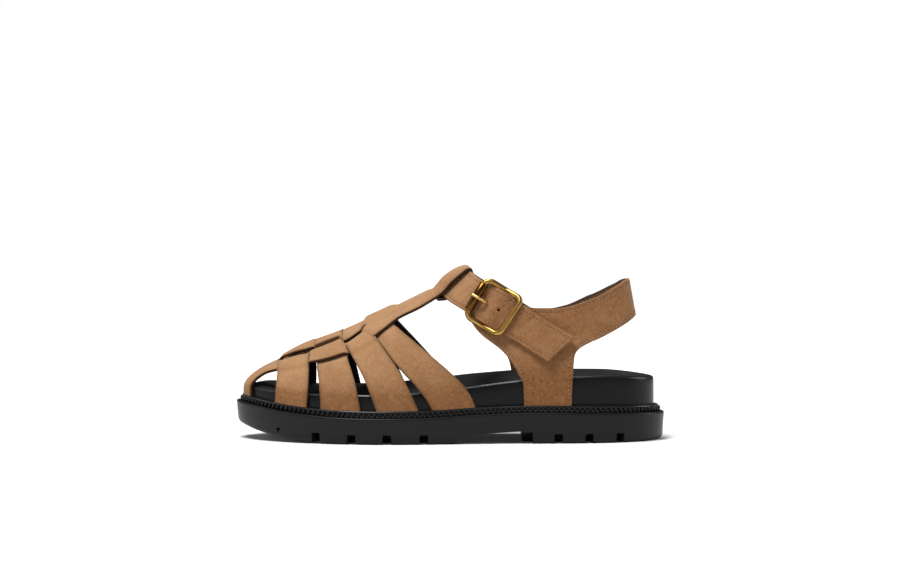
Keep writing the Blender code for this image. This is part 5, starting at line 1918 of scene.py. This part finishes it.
def frame_wire():
    """The buckle's rounded frame and centre bar; the end bar under and beside the roller takes the roller's
    dark brown as painted shade.
    """
    places = []
    for sign_a, sign_w, first in ((1, 1, 0), (-1, 1, 90), (-1, -1, 180), (1, -1, 270)):
        for angle in range(0, 91, CORNER_STEP):
            turn = math.radians(first + angle)
            a = sign_a * (HALF_LONG - CORNER) + CORNER * math.cos(turn)
            w = sign_w * (HALF_WIDE - CORNER) + CORNER * math.sin(turn)
            places.append((a, w))
        if sign_w * sign_a > 0:
            end, w = places[-1]
            places += [(a, w) for a in np.linspace(end, -end, RAIL_STEPS)[1:-1]]
    build = bmesh.new()
    line = [strap_base(BUCKLE_RUN + a, w, buckle_n(a)) for a, w in places]
    ups = [strap_axes(BUCKLE_RUN + a)[2] for a, w in places]
    tube(build, line, [WIRE / 2] * len(line), WIRE_SIDES, closed=True, flat=WIRE_FLAT, side_axes=ups)
    bar = [strap_base(BUCKLE_RUN, w, CENTRE_BAR_N) for w in np.linspace(-HALF_WIDE, HALF_WIDE, BAR_STEPS)]
    ups = [strap_axes(BUCKLE_RUN)[2]] * BAR_STEPS
    tube(build, bar, [CENTRE_BAR / 2] * BAR_STEPS, BAR_SIDES, side_axes=ups)
    along, across, out = strap_axes(BUCKLE_RUN + HALF_LONG)
    middle = strap_base(BUCKLE_RUN + HALF_LONG, 0.0, ROLLER_BAR_N)
    # Painted shade: the end bar under and beside the roller takes the roller's dark brown, where it shows
    # past the roller's ends.
    for face in build.faces:
        off = np.array(face.calc_center_median()) / MM - middle
        if abs(float(off @ across)) < HALF_WIDE - CORNER and float(off @ along) > -WIRE:
            face.material_index = 1
    return build


def roller_tube():
    """The loose tube on the end bar, with rolled ends."""
    along, across, out = strap_axes(BUCKLE_RUN + HALF_LONG)
    middle = strap_base(BUCKLE_RUN + HALF_LONG, 0.0, ROLLER_BAR_N)
    inner, outer, half = ROLLER_OUTER / 2 - ROLLER_WALL, ROLLER_OUTER / 2, ROLLER_LONG / 2
    line = (
        (inner, -half + 0.2), (inner + 0.2, -half), (outer - 0.25, -half), (outer, -half + 0.3),
        (outer, half - 0.3), (outer - 0.25, half), (inner + 0.2, half), (inner, half - 0.2),
    )
    build = bmesh.new()
    rows = []
    for radius, at in line:
        row = []
        for i in range(ROLLER_SIDES):
            turn = 2 * math.pi * i / ROLLER_SIDES
            spot = middle + at * across + radius * (math.cos(turn) * out + math.sin(turn) * along)
            row.append(build.verts.new(spot * MM))
        rows.append(row)
    skin(build, rows + rows[:1])
    return build


def prong_wire():
    """The prong from its hole in the strap up over the roller, with a rounded tip."""
    path = curve_of(PRONG_LINE, PRONG_COLUMNS, "along", "out")
    spots = np.linspace(PRONG_LINE[0][0], PRONG_LINE[-1][0], PRONG_STEPS)
    line = [strap_base(BUCKLE_RUN + a, 0.0, float(path(a))) for a in spots]
    tip = np.clip((spots - spots[-1] + TIP_LONG) / TIP_RUN, 0, 1)
    radii = PRONG / 2 * np.sqrt(1 - tip ** 2 * TIP_ROUND)
    build = bmesh.new()
    tube(build, line, radii, BAR_SIDES, side_axes=[strap_axes(BUCKLE_RUN + a)[1] for a in spots])
    return build


# Stage: the photo's camera, a glowing floor and soft boxes.
CAMERA_PITCH = 1.7
CAMERA_AWAY = 1.6
CAMERA_AIM = (0.0, 0.0, 0.0947)
MM_PER_PIXEL = 0.63
IMAGE_WIDE = 900
SENSOR = 36.0

# Soft boxes: name, place and width in metres, and watts.
LIGHTS = (
    ("key_box", (-0.3, -0.45, 1.25), 0.55, 20.0),
    ("top_box", (0.0, 0.4, 1.2), 0.4, 5.0),
    ("left_box", (-1.2, 0.0, 0.5), 0.6, 2.0),
    ("right_box", (1.2, 0.1, 0.42), 0.6, 4.0),
)
LIGHT_AIM = Vector((0.0, 0.0, 0.05))
FLOOR_RADIUS = 6.0
FLOOR_SIDES = 96
SKY_LIGHT = 0.1
GLOW_FROM = 0.2
GLOW_FULL = 1.0
GLOW_NEAR = 0.02


class SANDAL_OT_stage(bpy.types.Operator):
    """Camera at the photo's angle, glowing white floor and soft studio light"""

    bl_idname = "sandal.stage"
    bl_label = "Stage"

    def execute(self, context):
        scene = context.scene
        pitch = math.radians(CAMERA_PITCH)
        lens = bpy.data.cameras.new("photo_camera")
        lens.sensor_width = SENSOR
        lens.lens = CAMERA_AWAY / (MM_PER_PIXEL * MM) * SENSOR / IMAGE_WIDE
        camera = bpy.data.objects.new("photo_camera", lens)
        camera.location = Vector(CAMERA_AIM) + CAMERA_AWAY * Vector((0.0, -math.cos(pitch), math.sin(pitch)))
        camera.rotation_euler = (math.pi / 2 - pitch, 0.0, 0.0)
        scene.collection.objects.link(camera)
        scene.camera = camera

        build = bmesh.new()
        bmesh.ops.create_circle(build, cap_ends=True, segments=FLOOR_SIDES, radius=FLOOR_RADIUS)
        mesh = bpy.data.meshes.new("opal_floor")
        build.to_mesh(mesh)
        build.free()
        mesh.materials.append(once(acrylic_paint, "acrylic_opal_backlit", scene.sandal_colours.floor))
        floor = bpy.data.objects.new("opal_floor", mesh)
        scene.collection.objects.link(floor)

        for name, place, wide, watts in LIGHTS:
            box = bpy.data.lights.new(name, "AREA")
            box.size = wide
            box.energy = watts
            lamp = bpy.data.objects.new(name, box)
            lamp.location = place
            lamp.rotation_euler = (LIGHT_AIM - Vector(place)).to_track_quat("-Z", "Y").to_euler()
            scene.collection.objects.link(lamp)

        world = bpy.data.worlds.new("studio")
        world.use_nodes = True
        tree = world.node_tree
        soft = tree.nodes["Background"]
        soft.inputs["Color"].default_value = (1.0, 1.0, 1.0, 1.0)
        soft.inputs["Strength"].default_value = SKY_LIGHT
        white = add(tree, "ShaderNodeBackground", {"Color": (1.0, 1.0, 1.0, 1.0), "Strength": 1.0})
        seen = add(tree, "ShaderNodeLightPath")
        mix = add(tree, "ShaderNodeMixShader", {
            0: seen.outputs["Is Camera Ray"], 1: soft.outputs[0], 2: white.outputs[0]})
        tree.links.new(mix.outputs[0], tree.nodes["World Output"].inputs["Surface"])
        scene.world = world
        scene.view_settings.view_transform = "Standard"
        return {"FINISHED"}


class SANDAL_PT_pieces(bpy.types.Panel):
    """Sidebar panel with the sandal's pieces, sizes and colours"""

    bl_label = "Roman sandal"
    bl_space_type = "VIEW_3D"
    bl_region_type = "UI"
    bl_category = "Sandal"

    def draw(self, context):
        for made in PIECES:
            self.layout.operator(made.bl_idname)
        for group in (context.scene.sandal_sizes, context.scene.sandal_colours):
            for name in group.__annotations__:
                self.layout.prop(group, name)


PIECES = (
    SANDAL_OT_outsole,
    SANDAL_OT_welt,
    SANDAL_OT_footbed,
    SANDAL_OT_vamp,
    SANDAL_OT_quarter,
    SANDAL_OT_ankle_strap,
    SANDAL_OT_buckle,
    SANDAL_OT_stage,
)
CLASSES = (SandalSizes, SandalColours, *PIECES, SANDAL_PT_pieces)


def register():
    for made in CLASSES:
        bpy.utils.register_class(made)
    bpy.types.Scene.sandal_sizes = PointerProperty(type=SandalSizes)
    bpy.types.Scene.sandal_colours = PointerProperty(type=SandalColours)


def unregister():
    del bpy.types.Scene.sandal_colours
    del bpy.types.Scene.sandal_sizes
    for made in reversed(CLASSES):
        bpy.utils.unregister_class(made)


def main():
    register()
    bpy.ops.sandal.outsole()
    bpy.ops.sandal.welt()
    bpy.ops.sandal.footbed()
    bpy.ops.sandal.vamp()
    bpy.ops.sandal.quarter()
    bpy.ops.sandal.ankle_strap()
    bpy.ops.sandal.buckle()
    bpy.ops.sandal.stage()


if __name__ == "__main__":
    main()
